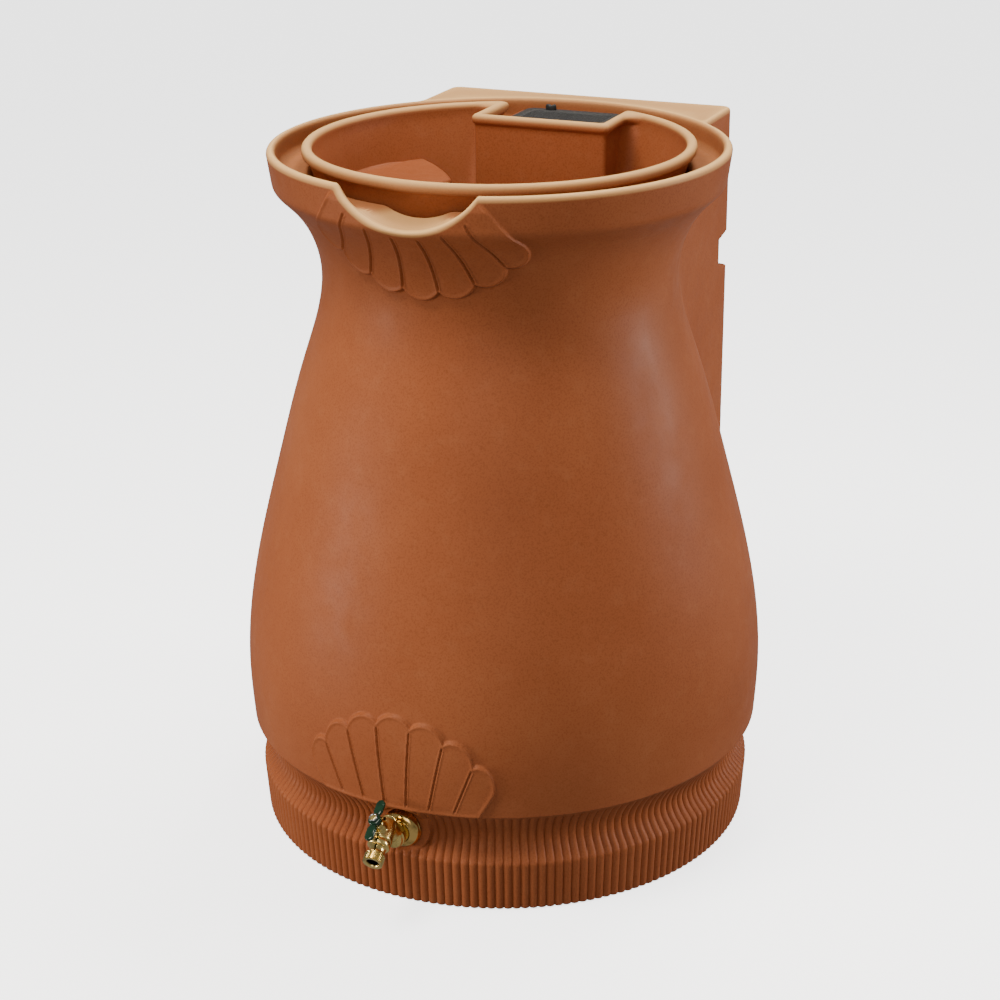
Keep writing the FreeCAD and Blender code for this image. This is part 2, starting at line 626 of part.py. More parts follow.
def make_nozzle():
    """Outlet screwed into the chamber, ending in a garden-hose thread."""
    start = "chamber_front"
    turned("outlet_nozzle", [
        ("nozzle_bore", start + " - 4"), ("chamber_radius", start + " - 4"), ("chamber_radius", start),
        ("nozzle_collar_radius", start), ("nozzle_collar_radius", "nozzle_collar_end - 2"),
        ("nozzle_collar_radius - 2", "nozzle_collar_end"), ("nozzle_tube_radius", "nozzle_collar_end"),
        ("nozzle_tube_radius", "nozzle_length - hose_thread_length"),
        ("hose_thread_radius", "nozzle_length - hose_thread_length + 1"),
        ("hose_thread_radius", "nozzle_length"), ("nozzle_bore", "nozzle_length")], flow_axis())


def make_ball_seats():
    """Two plastic rings that the ball turns between."""
    ball = Part.makeSphere(size("ball_radius") + size("seat_gap"))
    for name, low, high in (("rear_ball_seat", -size("chamber_back"), -5.0),
                            ("front_ball_seat", 5.0, size("chamber_front") - 4)):
        ring = Part.makeCylinder(size("seat_ring_radius"), high - low, Vector(0, 0, low))
        ring = ring.cut(ball).cut(Part.makeCylinder(size("ball_bore"), high - low + 2, Vector(0, 0, low - 1)))
        feature(name, ring).Placement = flow_axis()


def make_valve_ball():
    """Bored ball with a slot for the stem's tang; its own Z is the stem's axis."""
    ball = Part.makeSphere(size("ball_radius"))
    bore = Part.makeCylinder(size("ball_bore"), 4 * size("ball_radius"),
                             Vector(0, -2 * size("ball_radius"), 0), Vector(0, 1, 0))
    half = size("tang_thickness") / 2 + size("tang_clearance")
    slot = symmetric_box(half, -BEYOND, BEYOND, size("stem_tang"), BEYOND)
    return ball.cut(bore).cut(slot)


def make_stem():
    """Stem with a tang in the ball's slot, a shoulder below the neck and flats under the handle."""
    shoulder_low = size("ball_radius") + 3 * size("tang_clearance")
    reach = size("stem_shoulder_radius") - 1
    tang = symmetric_box(size("tang_thickness") / 2, -reach, reach,
                         size("stem_tang") + size("tang_clearance"),
                         shoulder_low + 1)
    shoulder = Part.makeCylinder(size("stem_shoulder_radius"), size("stem_shoulder") - shoulder_low,
                                 Vector(0, 0, shoulder_low))
    shaft = Part.makeCylinder(size("stem_radius"), size("stem_top") - shoulder_low,
                              Vector(0, 0, shoulder_low))
    return tang.fuse(shoulder).fuse(shaft)


def make_handle():
    """Tee handle: two tapered arms and a hub, lying along the flow when the valve is open."""
    low, thick = size("handle_low"), size("handle_thickness")
    half, wide, waist = size("handle_half_length"), size("handle_width") / 2, size("handle_waist") / 2
    end = half - wide
    hub = Part.makeCylinder(size("handle_hub_radius"), size("handle_hub_height"), Vector(0, 0, low))
    shape = hub
    for sign in (-1, 1):
        points = [Vector(-waist, 0, low), Vector(-wide, sign * end, low), Vector(wide, sign * end, low),
                  Vector(waist, 0, low)]
        arm = Part.Face(Part.makePolygon(points + points[:1])).extrude(Vector(0, 0, thick))
        pad = Part.makeCylinder(wide, thick, Vector(0, sign * end, low))
        shape = shape.fuse(arm).fuse(pad)
    bore = Part.makeCylinder(size("stem_radius"), 3 * thick, Vector(0, 0, low - thick))
    return shape.cut(bore).removeSplitter()


def make_valve_train():
    """What turns: ball, stem and handle; and the rings and nuts round the stem."""
    axis = stem_axis()
    feature("valve_ball", make_valve_ball()).Placement = axis
    feature("valve_stem", make_stem()).Placement = axis
    feature("handle", make_handle()).Placement = axis
    gap = "stem_radius + running_gap"
    turned("thrust_washer", ring_outline(gap, "stem_shoulder_radius", "stem_shoulder + 0.05",
                                         "stem_shoulder + thrust_thickness"), axis)
    turned("stem_packing", ring_outline(gap, "packing_radius", "neck_top - 5",
                                        "neck_top - 5 + packing_height"), axis)
    hexagon("packing_nut", axis, "gland_nut_radius + 0.8", "neck_top", "gland_nut_top", gap)
    hexagon("handle_nut", axis, "handle_nut_radius", "handle_low + handle_hub_height",
            "handle_low + handle_hub_height + handle_nut_height", "stem_radius")


# ---------------------------------------------------------------- model
NODES = [
    "tank", "planter_insert", "screen_frame", "screen_mesh", "wall_flange", "outer_gasket", "inner_gasket",
    "inner_washer", "lock_nut", "spigot_body", "outlet_nozzle", "rear_ball_seat", "front_ball_seat",
    "valve_ball", "valve_stem", "thrust_washer", "stem_packing", "packing_nut", "handle", "handle_nut",
]


def check_and_export():
    """Stop on any failed object or broken solid, then write one file per sub-part."""
    doc.recompute()
    for item in doc.Objects:
        if any(state in ("Invalid", "Error") for state in item.State):
            raise RuntimeError(f"{item.Name} failed: {item.State}")
    for name in NODES:
        shape = doc.getObject(name).Shape
        if shape.isNull() or not shape.isValid():
            raise RuntimeError(f"{name} has no valid shape")
        shape.exportStep(f"parts/{name}.step")
        print(f"{name}: {len(shape.Solids)} solid(s), {shape.Volume / 1000:.1f} cm3")


make_tank()
make_planter_insert()
make_screen()
make_clamping_pieces()
make_spigot_body()
make_nozzle()
make_ball_seats()
make_valve_train()
check_and_export()
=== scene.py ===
import math
import bmesh
import bpy
import numpy as np
from mathutils import Matrix, Vector


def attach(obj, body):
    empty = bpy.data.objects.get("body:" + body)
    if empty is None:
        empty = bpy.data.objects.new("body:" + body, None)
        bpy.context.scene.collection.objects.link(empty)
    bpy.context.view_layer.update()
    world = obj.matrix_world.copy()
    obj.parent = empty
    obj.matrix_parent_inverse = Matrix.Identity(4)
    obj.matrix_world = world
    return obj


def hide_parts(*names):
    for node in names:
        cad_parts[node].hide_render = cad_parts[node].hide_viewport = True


# Rain barrel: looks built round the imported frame. Shapes below are worked out in millimetres.
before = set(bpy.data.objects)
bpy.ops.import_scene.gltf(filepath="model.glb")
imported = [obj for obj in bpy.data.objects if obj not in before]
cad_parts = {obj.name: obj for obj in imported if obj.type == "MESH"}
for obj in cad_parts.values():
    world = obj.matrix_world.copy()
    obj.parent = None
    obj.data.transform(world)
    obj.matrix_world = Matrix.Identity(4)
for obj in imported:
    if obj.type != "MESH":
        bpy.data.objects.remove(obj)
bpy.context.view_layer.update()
MM = 0.001

# ---- sizes shared with the CAD, in mm
SKIRT = (345.0, 71.0)
WAIST = (328.0, 93.0)
URN = ((354.0, 146.0), (357.5, 222.0), (340.0, 369.0), (304.0, 512.0), (263.0, 655.0), (235.5, 783.0),
       (247.0, 829.0), (269.5, 865.0), (294.0, 889.0))
CREASE = 146.0
FOOT, FOOT_ROUND = 340.6, 4.0
RIM, RIM_BORE, RIM_TOP = 300.0, 288.0, 938.0
LIP = 6.0
COLUMN_HALF, COLUMN_BACK, COLUMN_CORNER = 211.0, 329.0, 12.0
GROOVE = (712.0, 722.0, 758.0, 764.0)
GROOVE_BACK, GROOVE_CORNER = 290.0, 5.0
TROUGH, POCKET_FLOOR, POCKET_MOUTH, POCKET_BASE = 908.0, 809.0, 246.0, 215.0
PLATFORM_HALF, PLATFORM_FRONT, PLATFORM_TOP = 84.0, 147.0, 922.0
INLET_HALF, INLET_FRONT, INLET_BACK = 62.0, 170.0, 266.0
SPOUT_INNER = (251.0, 104.0, 897.5)      # reach, radius, bottom
SPOUT_OUTER = (297.0, 125.0, 890.0)
SEAT_FACE, SEAT_RECESS, SEAT_PAD, SEAT_HEIGHT = 336.0, 31.0, 38.0, 109.0
LOBES = 7
LOW_SHELL = dict(focus=-60.0, reach=342.0, step=8.1, fall=0.07, notch=11.0, sign=1.0)
HIGH_SHELL = dict(focus=1075.0, reach=284.0, step=9.9, fall=0.0245, notch=10.0, sign=-1.0)
HIGH_SHELL_TOP = 931.0
FLUTES, FLUTE_SAMPLES, FLUTE_DEPTH = 190, 8, 3.4


# ---- curves and blends
def smooth_curve(points, count=400):
    """Natural cubic spline through the points, by chord length, as a dense polyline."""
    p = np.array(points, float)
    t = np.concatenate([[0], np.cumsum(np.linalg.norm(np.diff(p, axis=0), axis=1))])
    n, h = len(t), np.diff(t)
    system, right = np.eye(n), np.zeros((n, 2))
    for i in range(1, n - 1):
        system[i, i - 1:i + 2] = h[i - 1], 2 * (h[i - 1] + h[i]), h[i]
        right[i] = 6 * ((p[i + 1] - p[i]) / h[i] - (p[i] - p[i - 1]) / h[i - 1])
    m = np.linalg.solve(system, right)
    u = np.linspace(0, t[-1], count)
    k = np.clip(np.searchsorted(t, u) - 1, 0, n - 2)
    a, b = (t[k + 1] - u)[:, None], (u - t[k])[:, None]
    step = h[k][:, None]
    return (m[k] * a ** 3 + m[k + 1] * b ** 3) / (6 * step) + (p[k] / step - m[k] * step / 6) * a \
        + (p[k + 1] / step - m[k + 1] * step / 6) * b


FOOT_CURVE = smooth_curve([SKIRT, WAIST, URN[0]])
BODY_CURVE = smooth_curve(URN)


def sharp_radius(z):
    """Outside radius of the urn at height z, with crisp edges."""
    low = np.interp(z, [FOOT_ROUND, SKIRT[1]], [FOOT, SKIRT[0]])
    dip = np.clip(FOOT_ROUND - z, 0, FOOT_ROUND)
    low = low - FOOT_ROUND + np.sqrt(FOOT_ROUND ** 2 - dip ** 2)
    foot = np.interp(z, FOOT_CURVE[:, 1], FOOT_CURVE[:, 0])
    body = np.interp(z, BODY_CURVE[:, 1], BODY_CURVE[:, 0])
    rim = np.interp(z, [URN[-1][1], RIM_TOP - LIP], [URN[-1][0], RIM])
    return np.where(z < SKIRT[1], low, np.where(z < CREASE, foot, np.where(z < URN[-1][1], body, rim)))


HEIGHTS = np.arange(0, RIM_TOP + 4, 0.25)
RADII = sharp_radius(HEIGHTS)
for edge_height, reach in ((SKIRT[1], 5.0), (URN[-1][1], 9.0)):
    steps = int(reach / 0.25)
    near = np.abs(HEIGHTS - edge_height) < 2 * reach
    softened = RADII.copy()
    for _ in range(2):
        softened = np.convolve(np.pad(softened, steps // 2, "edge"), np.ones(steps + 1) / (steps + 1), "same")
        softened = softened[steps // 2:steps // 2 + len(HEIGHTS)]
    RADII = np.where(near, softened, RADII)


def urn_radius(z):
    """Outside radius of the urn at height z, with its moulded edges rounded."""
    return np.interp(z, HEIGHTS, RADII)


def around(count):
    """Angles of a full turn, without the last one repeated."""
    return np.linspace(0, 2 * math.pi, count, endpoint=False)


def smooth_step(x):
    x = np.clip(x, 0, 1)
    return x * x * (3 - 2 * x)


def smooth_max(a, b, k):
    h = np.clip(0.5 + 0.5 * (a - b) / k, 0, 1)
    return b + (a - b) * h + k * h * (1 - h)


def smooth_min(a, b, k):
    return -smooth_max(-a, -b, k)


def column_reach(side, ahead, z):
    """How far the flat-backed column reaches in the direction (side, ahead) at height z."""
    back = np.interp(z, GROOVE, [COLUMN_BACK, GROOVE_BACK, GROOVE_BACK, COLUMN_BACK])
    corner = np.interp(z, GROOVE, [COLUMN_CORNER, GROOVE_CORNER, GROOVE_CORNER, COLUMN_CORNER])
    flat, flank = back / np.maximum(ahead, 1e-6), COLUMN_HALF / np.maximum(side, 1e-6)
    cx, cy = COLUMN_HALF - corner, back - corner
    along = side * cx + ahead * cy
    bend = along + np.sqrt(np.maximum(along ** 2 - cx ** 2 - cy ** 2 + corner ** 2, 0))
    reach = np.minimum(flat, flank)
    in_corner = (reach * side > cx) & (reach * ahead > cy)
    return np.where(ahead > 0, np.where(in_corner, bend, reach), 0)


def shell_distance(x, z, focus, reach, step, fall, notch, sign):
    """Distance inside the scalloped edge, place across its lobe (-1 to 1) and distance from the focus."""
    dz = sign * (z - focus)
    angle, rho = np.degrees(np.arctan2(x, dz)), np.hypot(x, dz)
    u = np.abs(((angle / step + 0.5) % 1.0) - 0.5) * 2
    edge_reach = reach - fall * angle ** 2
    half_chord = edge_reach * math.radians(step) / 2
    arc = (half_chord ** 2 + notch ** 2) / (2 * notch)
    square = arc ** 2 - (half_chord * u) ** 2
    drop = arc - np.sqrt(np.maximum(square, 0.0))
    slope = half_chord * u / np.sqrt(np.maximum(square, 1.0))
    inside = (edge_reach - drop - rho) / np.sqrt(1 + slope ** 2)
    side = rho * np.sin(np.radians(LOBES / 2 * step - np.abs(angle)))
    return smooth_min(inside, side, 7.0), angle, rho, edge_reach - notch


def raised(inside, height, bead, lines):
    """Height of a raised shell at a distance inside its edge: rounded rim, lower field, incised lines."""
    shape = smooth_step((inside + 0.6) / 3.8) * (height + bead * np.exp(-((inside - 3.8) / 2.6) ** 2))
    return np.where(inside > -1, shape + lines * (inside > 0), 0)


def incised(angle, rho, ends, step, width, depth):
    """Narrow grooves along the valleys between lobes; ends fades them in and out."""
    nearest = (np.floor(angle / step) + 0.5) * step
    across = rho * np.radians(angle - nearest)
    inner = np.abs(nearest) < (LOBES / 2 - 0.6) * step
    cut = np.exp(-(across / width) ** 2)
    lip = 0.4 * np.exp(-((np.abs(across) - 2.2 * width) / (0.9 * width)) ** 2)
    return -depth * (cut - lip) * ends * inner


def low_shell(x, z):
    inside, angle, rho, valley = shell_distance(x, z, **LOW_SHELL)
    inside = np.minimum(inside, z - CREASE + 1.0)
    ends = smooth_step((z - CREASE - 5) / 4) * smooth_step((valley - 6 - rho) / 5)
    lines = incised(angle, rho, ends, LOW_SHELL["step"], 1.0, 2.0)
    return raised(inside, 4.0, 0.9, lines)


def high_shell(x, z):
    inside, angle, rho, valley = shell_distance(x, z, **HIGH_SHELL)
    inside = np.minimum(inside, HIGH_SHELL_TOP + 1 - z)
    from_bowl = np.hypot(x, z - SPOUT_OUTER[1] - SPOUT_OUTER[2]) - SPOUT_OUTER[1]
    ends = smooth_step((from_bowl - 9) / 5) * smooth_step((valley - 2 - rho) / 5)
    lines = incised(angle, rho, ends, HIGH_SHELL["step"], 1.15, 2.6)
    height = np.interp(z, [780, 900], [7.6, 3.2])
    under_rim = smooth_step((HIGH_SHELL_TOP + 1 - z) / 14)
    return raised(inside, height, 1.2, lines) * under_rim


def pocket_height(radius):
    """Height of the sloping wall of the planter's pocket."""
    return POCKET_FLOOR + (radius - POCKET_BASE) / (POCKET_MOUTH - POCKET_BASE) * (TROUGH - POCKET_FLOOR)


def bowl_height(x, y):
    """Height of the pouring spout's bowl over a point, with the rim's top where the bowl isn't."""
    share = (-y - SPOUT_INNER[0]) / (SPOUT_OUTER[0] - SPOUT_INNER[0])
    radius = SPOUT_INNER[1] + share * (SPOUT_OUTER[1] - SPOUT_INNER[1])
    bottom = SPOUT_INNER[2] + share * (SPOUT_OUTER[2] - SPOUT_INNER[2])
    inside = radius ** 2 - x ** 2
    return np.where((inside > 0) & (y < -150), bottom + radius - np.sqrt(np.maximum(inside, 0)), 2 * RIM_TOP)


# ---- meshes
class Skin:
    """Collects lattices of points into one mesh."""

    def __init__(self):
        self.points, self.faces, self.tone, self.count = [], [], [], 0

    def add(self, points, faces, tone=None):
        points = np.asarray(points, float).reshape(-1, 3)
        self.points.append(points)
        self.tone.append(np.zeros(len(points)) if tone is None else np.asarray(tone, float).reshape(-1))
        self.faces += [[v + self.count for v in face] for face in faces]
        self.count += len(points)

    def lattice(self, points, closed=True, tone=None, keep=None):
        """Quads over rows x columns points; closed joins the last column to the first."""
        rows, columns = points.shape[:2]
        last = columns if closed else columns - 1
        i, j = np.meshgrid(np.arange(rows - 1), np.arange(last), indexing="ij")
        k = (j + 1) % columns
        here, above = i * columns, (i + 1) * columns
        quads = np.stack([here + j, here + k, above + k, above + j], -1).reshape(-1, 4)
        if keep is not None:
            quads = quads[keep.reshape(-1)]
        self.add(points, quads.tolist(), tone)

    def cap(self, ring, order=1):
        """Face that closes the end of a lattice."""
        self.add(ring, [list(range(len(ring)))[::order]])

    def build(self, name, merge=0.02, smooth_angle=38.0):
        mesh = bpy.data.meshes.new(name)
        points = np.concatenate(self.points) * MM
        mesh.from_pydata(points, [], self.faces)
        # The tone layer holds painted highlight and wear on the clay's lips and bowl, and painted shade in
        # the spout's bore.
        painted_light_and_wear = mesh.attributes.new("tone", "FLOAT", "POINT")
        painted_light_and_wear.data.foreach_set("value", np.concatenate(self.tone).astype(np.float32))
        work = bmesh.new()
        work.from_mesh(mesh)
        bmesh.ops.remove_doubles(work, verts=work.verts, dist=merge * MM)
        bmesh.ops.dissolve_degenerate(work, edges=work.edges, dist=1e-6)
        loose = [v for v in work.verts if not v.link_faces]
        bmesh.ops.delete(work, geom=loose, context="VERTS")
        work.to_mesh(mesh)
        work.free()
        return finish_piece(mesh, name, smooth_angle)


def mesh_points(mesh):
    """A mesh's points in mm."""
    points = np.zeros(len(mesh.vertices) * 3, np.float32)
    mesh.vertices.foreach_get("co", points)
    return points.reshape(-1, 3).astype(float) / MM


def linked(name, data):
    """New object in the scene."""
    made = bpy.data.objects.new(name, data)
    bpy.context.scene.collection.objects.link(made)
    return made


def finish_piece(mesh, name, smooth_angle):
    """Object for a piece, with its material and body; the CAD node it stands for is hidden."""
    node, body, material, slot = PIECES[name]
    mesh.materials.append(material)
    mesh.shade_smooth()
    mesh.set_sharp_from_angle(angle=math.radians(smooth_angle))
    piece = linked(name, mesh)
    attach(piece, body)
    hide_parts(node)
    return piece


def mirrored_angles(spans):
    """Angles from the front, 0 to 360 degrees, from (end, step) spans of the first half."""
    half, start = [0.0], 0.0
    for end, step in spans:
        count = max(1, round((end - start) / step))
        half += list(np.linspace(start, end, count + 1)[1:])
        start = end
    half = np.array(half)
    return np.radians(np.concatenate([half, 360 - half[-2:0:-1]]))


def spaced(low, high, step):
    return list(np.linspace(low, high, max(2, round((high - low) / step) + 1)))


def skin_radius(theta, z):
    """Radius of the tank's plain outer skin, column included."""
    side, ahead = np.abs(np.sin(theta)), -np.cos(theta)
    urn, column = urn_radius(z), column_reach(side, ahead, z)
    behind = (ahead > 0) & (column * side < COLUMN_HALF - 0.01)
    return np.where(ahead > 0, np.where(behind, column, smooth_max(urn, column, 9.0)), urn)


# ---- materials
class Paint:
    """One procedural material: its nodes, links and the surface shader's inputs."""

    def __init__(self, name):
        self.material = bpy.data.materials.new(name)
        self.material.use_nodes = True
        self.nodes, self.links = self.material.node_tree.nodes, self.material.node_tree.links
        self.surface = self.nodes["Principled BSDF"].inputs

    def feed(self, socket, source):
        self.links.new(source, self.surface[socket])

    def ramp(self, source, *stops):
        """Colour ramp over (place, colour) stops; a single number is a grey."""
        made = self.nodes.new("ShaderNodeValToRGB")
        while len(made.color_ramp.elements) < len(stops):
            made.color_ramp.elements.new(0.5)
        for element, (place, colour) in zip(made.color_ramp.elements, stops):
            element.position = place
            element.color = (*np.broadcast_to(colour, 3), 1)
        self.links.new(source, made.inputs[0])
        return made.outputs[0]

    def mix(self, kind, factor, a, b):
        made = self.nodes.new("ShaderNodeMix")
        made.data_type, made.blend_type = "RGBA", kind
        for socket, value in ((0, factor), (6, a), (7, b)):
            if hasattr(value, "is_linked"):
                self.links.new(value, made.inputs[socket])
            else:
                made.inputs[socket].default_value = value
        return made.outputs[2]

    def noise(self, scale, detail=4.0, roughness=0.55):
        made = self.nodes.new("ShaderNodeTexNoise")
        for socket, value in (("Scale", scale), ("Detail", detail), ("Roughness", roughness)):
            made.inputs[socket].default_value = value
        self.links.new(self.nodes.new("ShaderNodeTexCoord").outputs["Object"], made.inputs["Vector"])
        return made.outputs["Fac"]

    def tone(self):
        """Tone that the skins carry at each point: painted highlight, partly wear, on the clay; painted shade
        in the brass bore.
        """
        made = self.nodes.new("ShaderNodeAttribute")
        made.attribute_name = "tone"
        return made.outputs["Fac"]

    def bump(self, height, strength, distance, under=None):
        made = self.nodes.new("ShaderNodeBump")
        made.inputs["Strength"].default_value, made.inputs["Distance"].default_value = strength, distance
        self.links.new(height, made.inputs["Height"])
        if under is not None:
            self.links.new(under, made.inputs["Normal"])
        return made.outputs["Normal"]


def terracotta():
    paint = Paint("terracotta_moulding")
    colour = paint.ramp(paint.noise(3.2, 3.0), (0.3, (0.240, 0.066, 0.0225)), (0.5, (0.266, 0.076, 0.0270)),
                        (0.72, (0.300, 0.092, 0.0345)))
    fleck = paint.ramp(paint.noise(420.0, 2.0, 0.7), (0.36, (0.72, 0.66, 0.62)), (0.52, 1), (0.72, 1))
    colour = paint.mix("MULTIPLY", 0.55, colour, fleck)
    dust = paint.ramp(paint.noise(46.0, 6.0, 0.65), (0.52, 0), (0.8, 0.09))
    colour = paint.mix("MIX", dust, colour, (0.46, 0.21, 0.095, 1))
    # Where the tone rises the clay turns pale cream: a painted highlight on lips and the bowl, partly wear.
    pale = paint.nodes.new("ShaderNodeClamp")
    paint.links.new(paint.tone(), pale.inputs[0])
    paint.feed("Base Color", paint.mix("MIX", pale.outputs[0], colour, (0.96, 0.62, 0.245, 1)))
    paint.feed("Roughness", paint.ramp(paint.noise(24.0, 5.0), (0.3, 0.40), (0.7, 0.54)))
    paint.surface["Specular IOR Level"].default_value = 0.08
    grain = paint.bump(paint.noise(620.0, 3.0, 0.6), 0.16, 0.0006)
    paint.feed("Normal", paint.bump(paint.noise(9.0, 2.0), 0.10, 0.006, grain))
    return paint.material


def metal(name, colour, roughness, grain_scale, dark):
    paint = Paint(name)
    stained = tuple(c * dark for c in colour)
    tint = paint.ramp(paint.noise(60.0, 5.0, 0.6), (0.34, stained), (0.56, colour), (0.8, colour))
    paint.surface["Metallic"].default_value = 1.0
    # Where the tone is 1 the metal turns near black: painted shade in the spout's bore.
    paint.feed("Base Color", paint.mix("MIX", paint.tone(), tint, (0.006, 0.004, 0.003, 1)))
    paint.feed("Roughness", paint.ramp(paint.noise(180.0, 3.0), (0.3, roughness * 0.7),
                                       (0.7, roughness * 1.5)))
    paint.feed("Normal", paint.bump(paint.noise(grain_scale), 0.12, 0.0004))
    return paint.material


def plastic(name, colour, roughness, grain_scale, strength):
    paint = Paint(name)
    dark, light = tuple(c * 0.72 for c in colour), tuple(min(1, c * 1.25) for c in colour)
    paint.feed("Base Color", paint.ramp(paint.noise(70.0), (0.3, dark), (0.7, light)))
    paint.feed("Roughness", paint.ramp(paint.noise(240.0, 3.0), (0.3, roughness * 0.82),
                                       (0.7, min(1, roughness * 1.2))))
    paint.feed("Normal", paint.bump(paint.noise(grain_scale), strength, 0.0006))
    return paint.material


CLAY = terracotta()
BRASS = metal("polished_brass", (0.80, 0.52, 0.17), 0.10, 420.0, 0.45)
CAST_BRASS = metal("cast_brass", (0.86, 0.64, 0.23), 0.19, 900.0, 0.55)
STEEL = metal("plated_steel", (0.62, 0.62, 0.60), 0.22, 700.0, 0.7)
CHROME = metal("chromed_ball", (0.80, 0.80, 0.80), 0.08, 300.0, 0.9)
GREEN = plastic("green_enamel", (0.0035, 0.024, 0.009), 0.13, 160.0, 0.06)
BLACK = plastic("black_screen", (0.0075, 0.0070, 0.0068), 0.62, 900.0, 0.25)
RUBBER = plastic("gasket_rubber", (0.020, 0.020, 0.020), 0.75, 700.0, 0.3)
PTFE = plastic("white_seat", (0.72, 0.72, 0.68), 0.45, 500.0, 0.1)

# modelled pieces: CAD node, body, material and slot
PIECES = {
    "tank_skin": ("tank", "barrel", CLAY, "terracotta"),
    "planter_tub": ("planter_insert", "planter", CLAY, "terracotta"),
    "screen_rim": ("screen_frame", "screen", BLACK, "black_plastic"),
    "screen_weave": ("screen_mesh", "screen", BLACK, "black_plastic"),
    "flange_dome": ("wall_flange", "barrel", BRASS, "brass"),
    "spigot_casting": ("spigot_body", "barrel", CAST_BRASS, "brass"),
    "outlet_spout": ("outlet_nozzle", "barrel", CAST_BRASS, "brass"),
    "stem_spindle": ("valve_stem", "valve", CAST_BRASS, "brass"),
    "gland_nut": ("packing_nut", "barrel", CAST_BRASS, "brass"),
    "handle_locknut": ("handle_nut", "valve", STEEL, "steel"),
    "shank_locknut": ("lock_nut", "barrel", BRASS, "brass"),
    "shank_washer": ("inner_washer", "barrel", STEEL, "steel"),
    "outer_seal": ("outer_gasket", "barrel", RUBBER, "gasket_rubber"),
    "inner_seal": ("inner_gasket", "barrel", RUBBER, "gasket_rubber"),
    "handle_tee": ("handle", "valve", GREEN, "green_enamel"),
}
# pieces that show their CAD mesh
PLAIN = {"valve_ball": CHROME, "rear_ball_seat": PTFE, "front_ball_seat": PTFE, "thrust_washer": PTFE,
         "stem_packing": PTFE}


